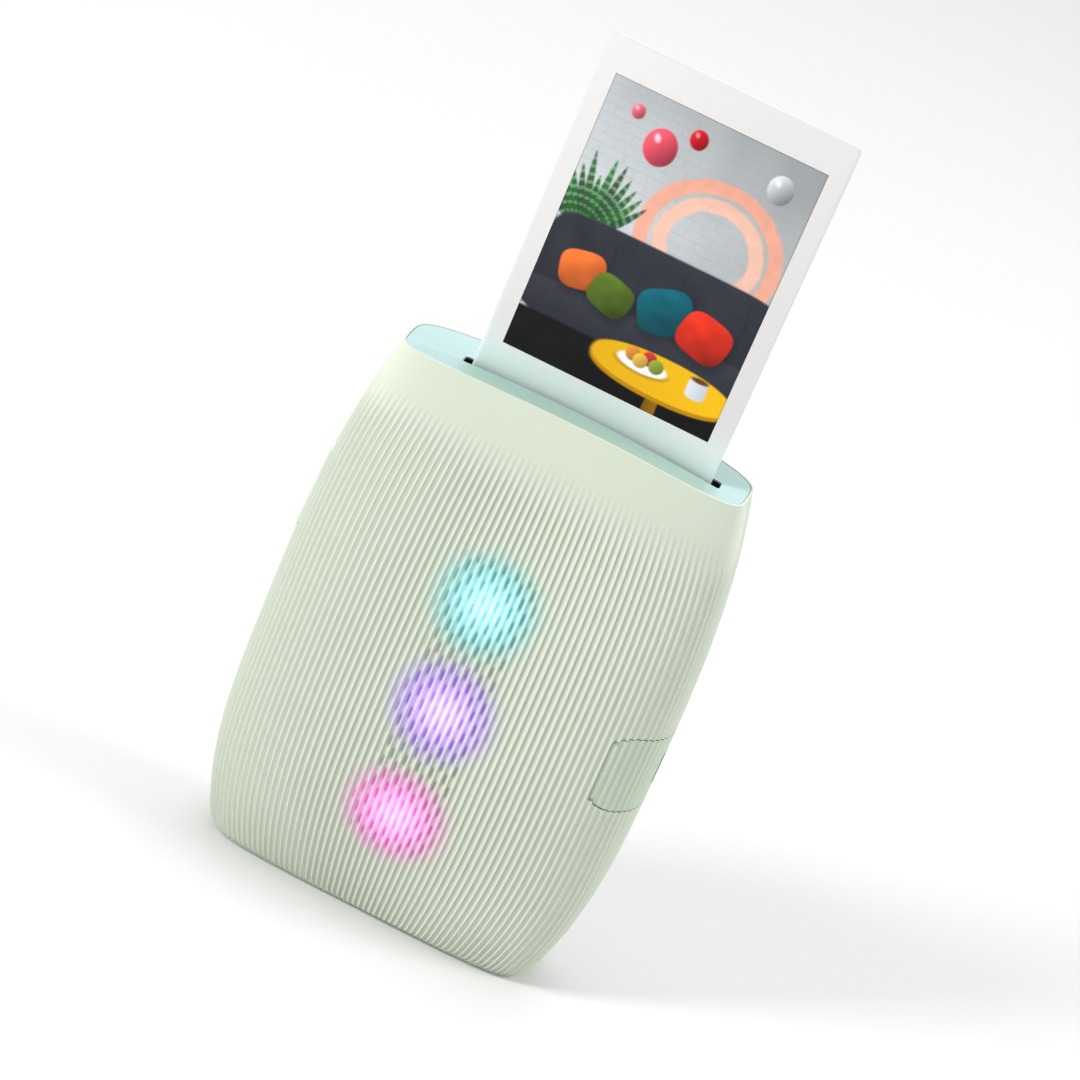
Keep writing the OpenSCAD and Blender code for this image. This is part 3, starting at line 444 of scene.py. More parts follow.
def new_group(name, ins, outs):
    """Empty node group with named sockets. Returns the group, its builder, input and output sockets."""
    g = bpy.data.node_groups.new(name, "ShaderNodeTree")
    for n, kind, v in ins:
        g.interface.new_socket(n, in_out="INPUT", socket_type=kind).default_value = v
    for n, kind in outs:
        g.interface.new_socket(n, in_out="OUTPUT", socket_type=kind)
    t = Tree(g)
    return g, t, t.add("NodeGroupInput").outputs, t.add("NodeGroupOutput").inputs


def grain_group():
    """Fine grain as a height, slow noise as a tone, and long thin patches of noise as scuffs."""
    group, t, i, o = new_group("moulded grain", [("Scale", FLOAT, 1.0)],
                               [("Height", FLOAT), ("Tone", FLOAT), ("Scuff", FLOAT)])
    place = t.place()
    fine = t.add("ShaderNodeTexNoise", {"Vector": place, "Scale": 5200.0, "Detail": 2.0, "Roughness": 0.6})
    slow = t.add("ShaderNodeTexNoise", {"Vector": place, "Scale": 38.0, "Detail": 3.0})
    stretched = t.add("ShaderNodeMapping", {"Vector": place, "Scale": (300.0, 300.0, 60.0)})
    scuff = t.add("ShaderNodeTexNoise", {"Vector": stretched.outputs[0], "Scale": 1.0, "Detail": 4.0})
    t.put(o["Height"], t.times(fine.outputs[0], i["Scale"]))
    t.put(o["Tone"], slow.outputs[0])
    t.put(o["Scuff"], t.span(scuff.outputs[0], 0.62, 0.75))
    return group


def spot_group():
    """Distance from a point in the front plane over a radius, as a soft disc and as a small bright core."""
    group, t, i, o = new_group("light spot", [("Centre", VECTOR, (0, 0, 0)), ("Radius", FLOAT, 0.009)],
                               [("Disc", FLOAT), ("Core", FLOAT)])
    flat = t.add("ShaderNodeVectorMath", {0: t.place(), 1: (1, 0, 1)}, operation="MULTIPLY").outputs[0]
    away = t.add("ShaderNodeVectorMath", {0: flat, 1: i["Centre"]}, operation="DISTANCE").outputs["Value"]
    ratio = t.math("DIVIDE", away, i["Radius"])
    t.put(o["Disc"], t.math("POWER", t.span(ratio, 1.42, 0.15), 0.8))
    t.put(o["Core"], t.span(ratio, 1.0, 0.0))
    return group


GRAIN, SPOT = grain_group(), spot_group()
print("node groups", GRAIN.name, "and", SPOT.name)

# %% [markdown]
# # The base of every finish
# All finishes start from one recipe, so they look as if they were made of real, slightly uneven
# stuff: the colour drifts, the grain catches the light, and scuffs are a little duller. What is
# special to a finish, such as the lights behind the front, is added by a function of its own.
# %% Base finish
SCUFF_GLOSS, GRAIN_STRENGTH = 0.05, 0.25


def material(name, base, rough=0.4, metal=0.0, grain_height=0.02, tone=0.04, edit=None, **sockets):
    """Procedural finish: the colour drifts a little in tone, the grain is a bump, scuffs change the gloss.

    Edit adds what is special to one finish; other names set sockets of the shader.
    """
    m = bpy.data.materials.new(name)
    m.use_nodes = True
    t = Tree(m.node_tree)
    t.t.nodes.clear()
    p = t.add("ShaderNodeBsdfPrincipled")
    out = t.add("ShaderNodeOutputMaterial")
    t.t.links.new(p.outputs[0], out.inputs[0])
    g = t.add("ShaderNodeGroup", node_tree=GRAIN)
    dark = tuple(c * (1 - tone) for c in base)
    light = tuple(min(1.0, c * (1 + tone)) for c in base)
    shade = t.mix(g.outputs["Tone"], dark, light)
    t.put(p.inputs["Base Color"], shade)
    t.put(p.inputs["Roughness"], t.span(g.outputs["Scuff"], 0, 1, rough, min(1, rough + SCUFF_GLOSS), False))
    t.put(p.inputs["Metallic"], metal)
    bump = t.add("ShaderNodeBump", {"Strength": GRAIN_STRENGTH, "Distance": grain_height * MM,
                                    "Height": g.outputs["Height"]})
    t.put(p.inputs["Normal"], bump.outputs[0])
    for k, v in sockets.items():
        t.put(p.inputs[k.replace("_", " ").title()], v)
    if edit:
        edit(t, p, shade, g, bump)
    return m


print("scuffs make a finish rougher by", SCUFF_GLOSS)

# %% [markdown]
# # The outer form
# Both shells, the film door, the port cover and the latch come from one outer form, so their faces
# line up across the thin seams, as they do on pieces from one set of moulds. It is one stack of
# rings, with waves for the ribs on its front half. Ribs set on a smooth body one by one would leave
# edges where they meet it, and waves don't.
# %% Outer form
WALL, PAST_TOP = 1.7, 5
FRONT_COLUMNS, BACK_COLUMNS, PLAIN_COLUMNS = RIBS * 8, 96, 120
RING_PHASE = np.r_[np.linspace(0, RIBS, FRONT_COLUMNS + 1), np.zeros(BACK_COLUMNS - 1)]
PLAIN_FRONT = front_angles(PLAIN_COLUMNS)[0]
PLAIN_ANGLE = np.r_[PLAIN_FRONT[:-1], (360 - PLAIN_FRONT[::-1])[:-1]]
OUTER_LEVELS = np.r_[BASE_ROUND * (1 - np.cos(np.linspace(0, np.pi / 2, 9))),
                     np.linspace(BASE_ROUND, FADE_Z, 34)[1:],
                     np.linspace(FADE_Z, FADE_Z + FADE_H, 15)[1:],
                     np.linspace(FADE_Z + FADE_H, BODY_H, 7)[1:]]


def rib_angles(z):
    """Angles of every column of the ribbed form at each level: even round the front and round the back."""
    back = 360 - front_angles(BACK_COLUMNS, z)[:, ::-1][:, 1:-1]
    return np.concatenate([front_angles(FRONT_COLUMNS, z), back], 1)


def outer_form(name, with_ribs, proud=0.0):
    """The whole outside: rings moved in by depth x rib profile x rib fade, shut by smaller crowned rings."""
    z = OUTER_LEVELS[:, None]
    if with_ribs:
        rings = skin(rib_angles(OUTER_LEVELS), z, RIB_DEPTH * rib_profile(RING_PHASE) * rib_fade(z) - proud)
    else:
        rings = skin(PLAIN_ANGLE, z, -proud)
    lid = []
    for share in (0.97, 0.85, 0.6, 0.3, 0.02):
        ring = rings[-1] * [share, share, 1]
        ring[:, 2] = BODY_H - crown(ring[:, 0], BODY_H)
        lid.append(ring)
    return stack(name, np.concatenate([rings, lid]))


def inner_form(name, inset):
    """The room inside a wall of the given thickness, open past the top."""
    z = np.r_[WALL + (FADE_Z - WALL) * (1 - np.cos(np.linspace(0, np.pi / 2, 20))),
              np.linspace(FADE_Z, BODY_H, 10)[1:], BODY_H + PAST_TOP]
    return stack(name, skin(PLAIN_ANGLE, z[:, None], inset))


print("rings", len(OUTER_LEVELS), "columns", len(RING_PHASE))

# %% [markdown]
# # Openings in the case
# The port cover, the power button, the film door and the cap each sit in an opening that is a hair
# larger than they are. For the cover and the door one function cuts both the piece and its opening,
# grown by a seam or not, so the gap is the same all the way round.
# %% Openings
LIP, SEAM, BUTTON_SEAM, CAP_T = 0.4, 0.2, 0.12, 2.2
CAP_UNDER = BODY_H - CAP_T
PORT_Z, PORT_H, PORT_FRONT, PORT_PAST, PORT_ROUND = 58.9, 18.2, -13.2, 3, 3
BUTTON_Z, BUTTON_Y, BUTTON_L, BUTTON_W = 84.6, -3.3, 21.5, 5.2
FILM_X, FILM_Y, FILM_W, FILM_H, FILM_T = 3.4, -2.6, 54, 86, 0.3
DOOR_W, DOOR_Z0, DOOR_Z1, DOOR_ROUND, DOOR_FRONT = 68, 7, 101.4, 5, 3
SIDE, BEHIND = (30, PAST), 30
HAIR = 0.01  # an arc stays this much smaller than half a width, so that no two points meet


def cap_pocket():
    """The room that the top cap fills, inside the thin lip of the shells."""
    return stack("pocket", skin(PLAIN_ANGLE, np.array([CAP_UNDER, BODY_H, BODY_H + PAST_TOP])[:, None], LIP))


def port_prism(extra):
    """Where the port cover sits, grown by a seam; it reaches past the plane where the shells meet."""
    return prism("port", rounded(PORT_FRONT / 2 - extra / 2 + PORT_PAST / 2, PORT_Z,
                                 PORT_PAST - PORT_FRONT + extra, PORT_H + 2 * extra, PORT_ROUND + extra),
                 "X", *SIDE)


def button_prism(extra):
    """Where the power button sits, grown by a seam."""
    w = BUTTON_W + 2 * extra
    return prism("pill", rounded(BUTTON_Y, BUTTON_Z, w, BUTTON_L + 2 * extra, w / 2 - HAIR),
                 "X", -PAST, -SIDE[0])


def door_prism(extra):
    """Where the film door sits, grown by a seam."""
    return prism("door", rounded(FILM_X, (DOOR_Z0 + DOOR_Z1) / 2, DOOR_W + 2 * extra,
                                 DOOR_Z1 - DOOR_Z0 + 2 * extra, DOOR_ROUND + extra), "Y", DOOR_FRONT, BEHIND)


print("openings: port", PORT_H, "button", BUTTON_L, "door", round(DOOR_Z1 - DOOR_Z0, 1), "mm high")

# %% [markdown]
# # Marks for the ribs
# A finish has to know where crests and valleys are. It could work the angle out again in nodes, but
# the mesh is a better place for it: each point keeps its place along the row of ribs as a number.
# %% Rib marks
TABLE_LEVELS = 125


def rib_marks(obj):
    """Place of each point along the row of ribs: share of the front's length x number of ribs."""
    co = np.empty(len(obj.data.vertices) * 3)
    obj.data.vertices.foreach_get("co", co)
    x, y, z = co.reshape(-1, 3).T
    z = z + crown(x, z)
    u, v = x / half_w(z), y / half_d(z)
    # the angle on its level, then the share of the front's length up to there, read from a table
    w = 180 + np.degrees(np.arctan2(abs(v), -u))
    table = arc_share(np.linspace(0, BODY_H, TABLE_LEVELS + 1))
    i = np.clip(z, 0, BODY_H) / BODY_H * TABLE_LEVELS
    j = np.clip((w - 180) / 180, 0, 1) * FINE_STEPS
    i0, j0 = np.minimum(i.astype(int), TABLE_LEVELS - 1), np.minimum(j.astype(int), FINE_STEPS - 1)
    fi, fj = i - i0, j - j0
    share = ((table[i0, j0] * (1 - fj) + table[i0, j0 + 1] * fj) * (1 - fi)
             + (table[i0 + 1, j0] * (1 - fj) + table[i0 + 1, j0 + 1] * fj) * fi)
    mark = obj.data.attributes.new("rib", "FLOAT", "POINT")
    mark.data.foreach_set("value", (share * RIBS).astype(np.float32))


print("marks are read from a table of", TABLE_LEVELS + 1, "levels and", FINE_STEPS + 1, "angles")

# %% [markdown]
# # Finish of the ribbed shells
# The shells are satin moulded plastic in sage, with a thin clear gloss on the ribs. One flank of a
# rib gets painted shade, as a light from the left would leave it, and the seam of the port cover
# shows as a fine dark line. Both are drawn in the finish, the line because gaps of a fifth of a
# millimetre are lost between the samples of a render.
# %% Ribbed finish
SAGE, SAGE_REAR, COVER = srgb(212, 221, 202), srgb(205, 215, 197), srgb(204, 218, 196)
LINE_OFF, LINE_HALF, LINE_SOFT = 3.08, 0.06, 0.24


def painted_valley_shade(t, shade, place):
    """Painted shade beside each crest: 1 - 0.2 x fade x a ramp across the valley."""
    across = t.math("FRACT", t.add("ShaderNodeAttribute", attribute_name="rib").outputs["Fac"])
    fade = t.span(place[2], (FADE_Z + FADE_H) * MM, FADE_Z * MM)
    ramp = t.times(t.span(across, 0.0, 0.12), t.span(across, 0.85, 0.20))
    # painted shade: the colour darkens beside each crest, as a light from the left would leave it
    return t.mix(t.times(ramp, fade, 0.2), shade, BLACK)


def port_line(t, colour, place):
    """Dark line along the seam of the port cover: distance to its inner rectangle near its rounding."""
    middle = ((PORT_FRONT + PORT_PAST) / 2, PORT_Z)
    core = ((PORT_PAST - PORT_FRONT) / 2 - PORT_ROUND, PORT_H / 2 - PORT_ROUND)
    y, z = (t.math("MAXIMUM", t.math("SUBTRACT", t.gap(p, m * MM), c * MM), 0.0)
            for p, m, c in zip(place[1:], middle, core))
    away = t.math("SQRT", t.math("ADD", t.math("POWER", y, 2.0), t.math("POWER", z, 2.0)))
    line = t.span(t.gap(away, LINE_OFF * MM), LINE_SOFT * MM, LINE_HALF * MM)
    at_side = t.math("GREATER_THAN", place[0], SIDE[0] * MM)
    in_front = t.math("LESS_THAN", place[1], 0.0)
    return t.mix(t.times(line, at_side, in_front, 0.42), colour, srgb(96, 108, 92))


def ribbed(t, p, shade, g, bump):
    """The painted shade in the valleys and the seam line, for a cover without lights."""
    place = t.xyz()
    t.put(p.inputs["Base Color"], port_line(t, painted_valley_shade(t, shade, place), place))


sage_cover = material("sage port cover", COVER, 0.42, coat_weight=0.3, coat_roughness=0.35, edit=ribbed)
sage_rear = material("sage rear", SAGE_REAR, 0.45)
print("plain case finishes", sage_cover.name, sage_rear.name)

# %% [markdown]
# # Lights behind the front
# Three coloured lights sit on the circuit board and shine through the thin front wall: a soft disc
# tints the plastic, its middle glows nearly white, and short slits in the valleys are deeper in
# colour. Real light through a wall costs many samples and comes out noisy, so each disc is a
# colour and a little glow of its own. The slits are a plain staggered pattern.
# %% Lit front
SLIT_STEP, SPOT_RADIUS = 5.4, 10.0
BAND_X, BAND_Z, BAND_W, BAND_H, BAND_SOFT_W, BAND_SOFT_H = 0.6, 56.5, 9.5, 36.5, 2.0, 2.5
# place on the front (x, z), tint of a crest, tint of a valley, colour of the bright middle and of a slit
LIGHTS = {"cyan": ((0.2, 82.7), srgb(158, 236, 234), srgb(44, 196, 198),
                   srgb(120, 235, 235), srgb(0, 140, 148)),
          "violet": ((0.9, 57.1), srgb(206, 176, 248), srgb(152, 92, 236),
                     srgb(190, 150, 250), srgb(128, 40, 200)),
          "pink": ((0.1, 29.2), srgb(252, 160, 230), srgb(244, 62, 206),
                   srgb(250, 130, 225), srgb(222, 12, 184))}


def slits(t, place):
    """Masks of the slits and of the valleys; the slits of every other valley stand half a step higher."""
    rib = t.add("ShaderNodeAttribute", attribute_name="rib").outputs["Fac"]
    off_valley = t.gap(t.math("FRACT", rib), 0.5)
    odd = t.math("MODULO", t.math("FLOOR", t.math("ADD", rib, 0.001)), 2.0)
    shifted = t.math("ADD", place[2], t.times(odd, SLIT_STEP / 2 * MM))
    along = t.gap(t.math("FRACT", t.math("DIVIDE", shifted, SLIT_STEP * MM)), 0.5)
    slit = t.times(t.span(off_valley, 0.38, 0.08), t.span(along, 0.38, 0.12))
    return slit, t.span(off_valley, 0.50, 0.05)


def unlit_band(t, place):
    """Upright band through the lights, where the slits run on without light."""
    across, along = t.gap(place[0], BAND_X * MM), t.gap(place[2], BAND_Z * MM)
    return t.times(t.span(across, BAND_W * MM, (BAND_W - BAND_SOFT_W) * MM),
                   t.span(along, BAND_H * MM, (BAND_H - BAND_SOFT_H) * MM))


def lit_front(t, p, shade, g, bump):
    """Tints, glows and slits on the front shell: each light mixes its own over what is there."""
    place = t.xyz()
    front = t.math("LESS_THAN", place[1], 0.0)
    slit, valley = slits(t, place)
    unlit = t.times(slit, front, unlit_band(t, place), 0.62)
    # the colour under the slits carries the painted shade of the valleys
    colour = t.mix(unlit, painted_valley_shade(t, shade, place), srgb(70, 92, 82))
    glow = BLACK
    for (x, z), crest_tint, valley_tint, core, deep in LIGHTS.values():
        s = t.add("ShaderNodeGroup", {"Centre": (x * MM, 0, z * MM), "Radius": SPOT_RADIUS * MM},
                  node_tree=SPOT).outputs
        disc = t.times(s["Disc"], front)
        colour = t.mix(disc, colour, t.mix(valley, crest_tint, valley_tint))
        mask = t.times(slit, t.span(disc, 0.05, 0.5), t.span(s["Core"], 0.0, 1.0, 1.0, 0.5))
        colour = t.mix(t.times(mask, 0.58), colour, deep)
        # the white middle is weaker in a slit, and a little weaker in a valley
        dip = t.math("MAXIMUM", mask, t.times(valley, 0.35))
        white = t.times(s["Core"], t.span(dip, 0, 1, 1.0, 0.15), front)
        glow = t.mix(1.0, glow, t.mix(white, BLACK, WHITE), "ADD")
        glow = t.mix(1.0, glow, t.mix(t.times(disc, 0.28), BLACK, t.mix(mask, core, deep)), "ADD")
    t.put(p.inputs["Base Color"], port_line(t, colour, place))
    t.put(p.inputs["Emission Color"], glow)
    t.put(p.inputs["Emission Strength"], 0.5)


sage_shell = material("sage shell", SAGE, 0.42, coat_weight=0.3, coat_roughness=0.35, edit=lit_front)
print("lights", {n: v[0] for n, v in LIGHTS.items()})

# %% [markdown]
# # Front shell
# The ribbed half of the form, hollowed to its wall, with a ledge for the cap, a window for the port
# cover and a hole for the power button. A surface thickened by a modifier would have an even wall
# too, but its inner side would repeat the ribs, and the real inner side is smooth.
# %% Front shell
front_shell = outer_form("front_shell_skin", True)
cut(front_shell, [half_space(False, 0.0), inner_form("room", WALL), cap_pocket(), port_prism(SEAM),
                  button_prism(BUTTON_SEAM)])
rib_marks(front_shell)
done(front_shell, "housing", sage_shell, ["front_shell"])

# %% [markdown]
# # Port cover
# The cover over the charging inlet is cut from the same ribbed form, so its ribs run on over
# the seam. A narrow notch in its rear edge takes a fingernail.
# %% Port cover
COVER_WALL, NOTCH_H, NOTCH_X, NOTCH_Y = 1.2, 8.5, 38, (-1.7, 1)
port_cover = outer_form("port_cover_skin", True)
cut(port_cover, [port_prism(0)], "INTERSECT")
cut(port_cover, [half_space(False, 0.0), inner_form("room", COVER_WALL),
                 block((NOTCH_X, PAST), NOTCH_Y, about(PORT_Z, NOTCH_H / 2))])
rib_marks(port_cover)
done(port_cover, "port_flap", sage_cover, ["port_cover"])

# %% [markdown]
# # Rear shell and film door
# The back is smooth. The door fills most of it, so that a cassette of film can be dropped in. Its
# hinge lies in a recess at the foot, and a thumb latch has a window near the head. Both pieces are
# cut with one outline: the shell by the larger copy, the door by the smaller one.
# %% Rear shell and door
HINGE_Z, BARREL_W, BARREL_R, EAR_W, EAR_GAP, HINGE_GAP = 6.6, 22.8, 1.5, 2.8, 0.6, 0.4
LATCH_W, LATCH_H, LATCH_Z, LATCH_TRAVEL, LATCH_GAP = 15, 5, 97.7, 2, 0.2
CATCH_HALF, CATCH_GAP, CATCH_ROOM, OVERLAP = LATCH_W / 3, 0.4, 2.7, 1
DOOR_WALL, HINGE_FRONT, CATCH_FRONT, DOOR_ROOM, BACK = 1.6, 8, 9, 5, 25
ear_span = about(FILM_X, BARREL_W / 2 + EAR_W + EAR_GAP)
rear_shell = outer_form("rear_shell_skin", False)
cut(rear_shell, [half_space(True, SEAM), inner_form("room", WALL), cap_pocket(), door_prism(SEAM),
                 block(ear_span, (HINGE_FRONT, BACK), (HINGE_Z - BARREL_R - HINGE_GAP, DOOR_Z0 + OVERLAP)),
                 block(about(FILM_X, CATCH_HALF + CATCH_GAP), (CATCH_FRONT, BACK),
                       (DOOR_Z1 - OVERLAP, DOOR_Z1 + CATCH_ROOM))])
done(rear_shell, "housing", sage_rear, ["rear_shell"])

film_door = outer_form("film_door_skin", False)
cut(film_door, [door_prism(0)], "INTERSECT")
cut(film_door, [inner_form("room", DOOR_WALL),
                block(about(FILM_X, LATCH_W / 2 + LATCH_GAP), (DOOR_ROOM, BACK),
                      (LATCH_Z - LATCH_H / 2 - LATCH_TRAVEL - LATCH_GAP, LATCH_Z + LATCH_H / 2 + LATCH_GAP)),
                block(ear_span, (DOOR_ROOM, BACK), (0, HINGE_Z + BARREL_R + HINGE_GAP))])
done(film_door, "door", sage_rear, ["film_door"])

# %% [markdown]
# # Finish of the cap
# The cap is a pale teal. Inside its slot no light gets out again, so the finish paints shade there,
# and the strip in front of the print gets a painted shadow of the print, tinted green as a painted
# reflection of the shell. Both depend only on the place, so the finish draws them: depth below the
# crowned top, and distance from the middle of the film.
# %% Cap finish
# the cap's own teal, the painted green shadow in front of the print, and the painted shade deep in the slot
TEAL, STRIP_PAINTED_SHADOW, SLOT_PAINTED_SHADE = srgb(178, 204, 203), srgb(140, 170, 150), srgb(16, 24, 24)
STRIP_HALF, STRIP_CORE, STRIP_BACK, STRIP_FRONT = 30.5, 25.0, -3.2, -4.4
DARK_FROM, DARK_TO = 0.12, 0.7


def cap_shade(t, p, shade, g, bump):
    """Painted shade in the slot by depth = top - crown x^2 - z; painted green shadow in front of the print.
    """
    place = t.xyz()
    square = t.math("POWER", t.math("ABSOLUTE", place[0]), 2.0)
    top = t.math("SUBTRACT", BODY_H * MM, t.times(square, 4 * CROWN / TOP_W ** 2 / MM))
    depth = t.math("SUBTRACT", top, place[2])
    # painted shadow of the print on the strip in front of it, tinted green as a reflection of the shell
    strip = t.times(t.span(t.gap(place[0], FILM_X * MM), STRIP_HALF * MM, STRIP_CORE * MM),
                    t.span(place[1], STRIP_BACK * MM, STRIP_FRONT * MM), 0.6)
    colour = t.mix(strip, shade, STRIP_PAINTED_SHADOW)
    # painted shade: the slot turns dark with depth
    t.put(p.inputs["Base Color"], t.mix(t.span(depth, DARK_FROM * MM, DARK_TO * MM), colour, SLOT_PAINTED_SHADE))


teal_cap = material("teal cap", TEAL, 0.4, grain_height=0.015, edit=cap_shade)
print("the slot is dark from", DARK_TO, "mm down")

# %% [markdown]
# # Top cap
# The cap is one closed surface: up the inside of the slot, over a small rounding, across the crown,
# over the outer edge, down its side and back underneath to the throat that guides the print. A
# plate with a hole cut in it would have sharp edges, which catch no light, so each ring is laid from
# a blend of two outlines instead.
# %% Top cap
CAP_INSET, CAP_EDGE, CAP_LIFT, CAP_SPREAD = 0.52, 0.2, 0.05, 0.6
SLOT_W, SLOT_D, SLOT_ROUND, SLOT_BACK, SLOT_EDGE = 57.8, 3.2, 0.8, 0.6, 0.35
THROAT_Z, THROAT_MIDDLE, THROAT_WALL = 114.5, 118.5, 1.0
SHORT_STEPS, ARC_STEPS, LONG_STEPS, BLEND_STEPS = 6, 20, 34, 13
QUARTER = SHORT_STEPS + ARC_STEPS + LONG_STEPS


def quarter_angles(z, inset):
    """Angles of one quarter of a level at equal lengths of arc."""
    w = np.linspace(0, 90, 400)
    p = skin(w, z, inset)
    s = np.r_[0, np.cumsum(np.linalg.norm(np.diff(p, axis=0), axis=1))]
    return np.interp(np.linspace(0, s[-1], QUARTER + 1), s, w)


def slot_loop(d):
    """Outline of the film slot grown by d: a short side, an arc and a long side, mirrored twice."""
    w, h, r = SLOT_W / 2 + d, SLOT_D / 2 + d, SLOT_ROUND + d
    t = np.linspace(0, np.pi / 2, ARC_STEPS + 1)
    quarter = np.concatenate([
        np.c_[np.full(SHORT_STEPS, w), np.linspace(0, h - r, SHORT_STEPS + 1)[:-1]],
        np.c_[w - r + r * np.cos(t), h - r + r * np.sin(t)],
        np.c_[np.linspace(w - r, 0, LONG_STEPS + 1)[1:], np.full(LONG_STEPS, h)]])
    flip = quarter[::-1]
    return np.concatenate([quarter[:-1], (flip * [-1, 1])[:-1], (quarter * [-1, -1])[:-1],
                           (flip * [1, -1])[:-1]]) + [FILM_X, FILM_Y + SLOT_BACK]


def on_top(loop, below=0.0):
    """Ring of the cap over a flat outline, at the height of the crowned top less a drop."""
    return lift(loop, "Z", BODY_H - crown(loop[:, 0], BODY_H) - below)


first = quarter_angles(BODY_H, CAP_SPREAD)
cap_angle = np.r_[first[:-1], (180 - first[::-1])[:-1], (180 + first)[:-1], (360 - first[::-1])[:-1]]
rows = [lift(slot_loop(0), "Z", z) for z in (THROAT_Z, THROAT_MIDDLE, CAP_UNDER)]
rows += [on_top(slot_loop(inward), drop) for inward, drop in quarter_round(SLOT_EDGE)]
mouth, edge = slot_loop(SLOT_EDGE), skin(cap_angle, BODY_H, CAP_INSET + CAP_EDGE)[:, :2]
rows += [on_top(mouth * (1 - s) + edge * s) for s in np.linspace(0, 1, BLEND_STEPS + 1)[1:-1]]
rows += [skin(cap_angle, BODY_H - drop, CAP_INSET + inward)
         for inward, drop in reversed(quarter_round(CAP_EDGE))]
rows.append(skin(cap_angle, CAP_UNDER + CAP_LIFT, CAP_INSET))
under = slot_loop(THROAT_WALL)
rows.append(lift(under, "Z", CAP_UNDER + CAP_LIFT - crown(under[:, 0], CAP_UNDER)))
rows.append(lift(under, "Z", THROAT_Z))
rings = np.array(rows)
top_cap = new_object("top_cap_skin", rings.reshape(-1, 3), ring_faces(*rings.shape[:2], looped=True))
outward(top_cap)
done(top_cap, "housing", teal_cap, ["top_cap"])

# %% [markdown]
# # Power button
# A long rounded key in the left side follows the curve of the case and stands a little proud. A
# flange behind the wall keeps it in. Its face is built from ever smaller outlines that are laid on
# the curve of the case, so it bends with the side.
# %% Power button
BUTTON_PROUD, BUTTON_EDGE, FLANGE_REACH, FLANGE_T, BUTTON_CORE = 0.29, 0.35, 0.9, 0.8, 2.58


def pill_loop(d):
    """Outline of the button moved in by d."""
    w, height = BUTTON_W - 2 * d, BUTTON_L - 2 * d
    return rounded(BUTTON_Y, BUTTON_Z, w, height, max(w / 2 - HAIR, HAIR / 2), 16)


def on_side(loop, proud):
    """Ring of the button on the left side of the case, |x| = half width (1 - |y / half depth|^n)^(1/n)."""
    y, z = loop.T
    n = squareness(z)
    return lift(loop, "X", -half_w(z) * (1 - abs(y / half_d(z)) ** n) ** (1 / n) - proud)


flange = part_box("power_button")[1][0] / MM
rows = [lift(pill_loop(d), "X", x) for x, d in ((flange, BUTTON_CORE), (flange, -FLANGE_REACH),
                                                (flange - FLANGE_T, -FLANGE_REACH), (flange - FLANGE_T, 0))]
rows += [on_side(pill_loop(inward), BUTTON_PROUD - drop) for inward, drop in quarter_round(BUTTON_EDGE)]
rows += [on_side(pill_loop(d), BUTTON_PROUD) for d in (0.7, 1.2, 1.7, 2.2, BUTTON_CORE)]
power_button = stack("power_button_skin", np.array(rows))
done(power_button, "button", sage_rear, ["power_button"])

# %% [markdown]
# # Door latch
# A thumb plate with three grooves lies in the window of the door and follows the back of the case.
# It is cut from a slightly larger outer form, which gives its curve for nothing. A hidden slide
# plate and a catch are joined to it.
# %% Door latch
PLATE_LOW, PLATE_FRONT, PLATE_BACK, PLATE_GAP, LATCH_PROUD = 93.5, 11, 12.2, 0.4, 0.6
CATCH_ROOT, CATCH_REACH = 0.5, 2
GROOVES, GROOVE_HALF, GROOVE_FLOOR, GROOVE_END, PLATE_WIDER = (-1.3, 0, 1.3), 0.3, 0.15, 2, 1.8
thumb = outer_form("door_latch_skin", False, LATCH_PROUD)
cut(thumb, [block(about(FILM_X, LATCH_W / 2), (PLATE_FRONT, BEHIND), about(LATCH_Z, LATCH_H / 2))],
    "INTERSECT")
groove_front = float(half_d(LATCH_Z)) + GROOVE_FLOOR
cut(thumb, [block(about(FILM_X, LATCH_W / 2 - GROOVE_END), (groove_front, BEHIND),
                  about(LATCH_Z + z, GROOVE_HALF)) for z in GROOVES])
cut(thumb, [block(about(FILM_X, LATCH_W / 2 + PLATE_WIDER), (PLATE_FRONT, PLATE_BACK),
                  (PLATE_LOW, DOOR_Z1 - PLATE_GAP)),
            block(about(FILM_X, CATCH_HALF), (PLATE_FRONT, PLATE_BACK),
                  (DOOR_Z1 - CATCH_ROOT, DOOR_Z1 + CATCH_REACH))], "UNION")
done(thumb, "latch", sage_rear, ["door_latch"])

# %% [markdown]
# # Port bezel
# A dark frame behind the port cover closes the gap round the charging inlet. It is a patch of a thin
# shell just inside the wall, so it fits the curve of the side, with the inlet cut through it.
# %% Port bezel
BEZEL_GAP, BEZEL_T, BEZEL_Y, BEZEL_PAST = 0.3, 1.0, (-9.8, -0.3), 1.5
INLET_Y, INLET_D, INLET_H, INLET_ROUND = -5, 3.7, 9.5, 1.4
dark_plastic = material("dark plastic", srgb(44, 46, 47), 0.5)
bezel = inner_form("port_bezel_skin", WALL + BEZEL_GAP)
cut(bezel, [block(SIDE, BEZEL_Y, about(PORT_Z, PORT_H / 2 + BEZEL_PAST))], "INTERSECT")
cut(bezel, [inner_form("room", WALL + BEZEL_GAP + BEZEL_T),
            prism("inlet", rounded(INLET_Y, PORT_Z, INLET_D, INLET_H, INLET_ROUND), "X", *SIDE)])
done(bezel, "housing", dark_plastic, ["port_bezel"])

# %% [markdown]
# # Tools for the picture
# The print shows a made-up living room. It could be modelled in little, or drawn by a tangle of
# nodes. Here it is painted by formulas on a fine grid, one flat shape over another, because that
# needs no image file and stays the same each time. These are the brushes.
# %% Picture tools
PX, PZ, SEED = 224, 302, 7


def soft(distance, width=0.006):
    """1 inside, 0 outside, with a narrow blend at distance 0."""
    return np.clip(0.5 - distance / width, 0, 1)


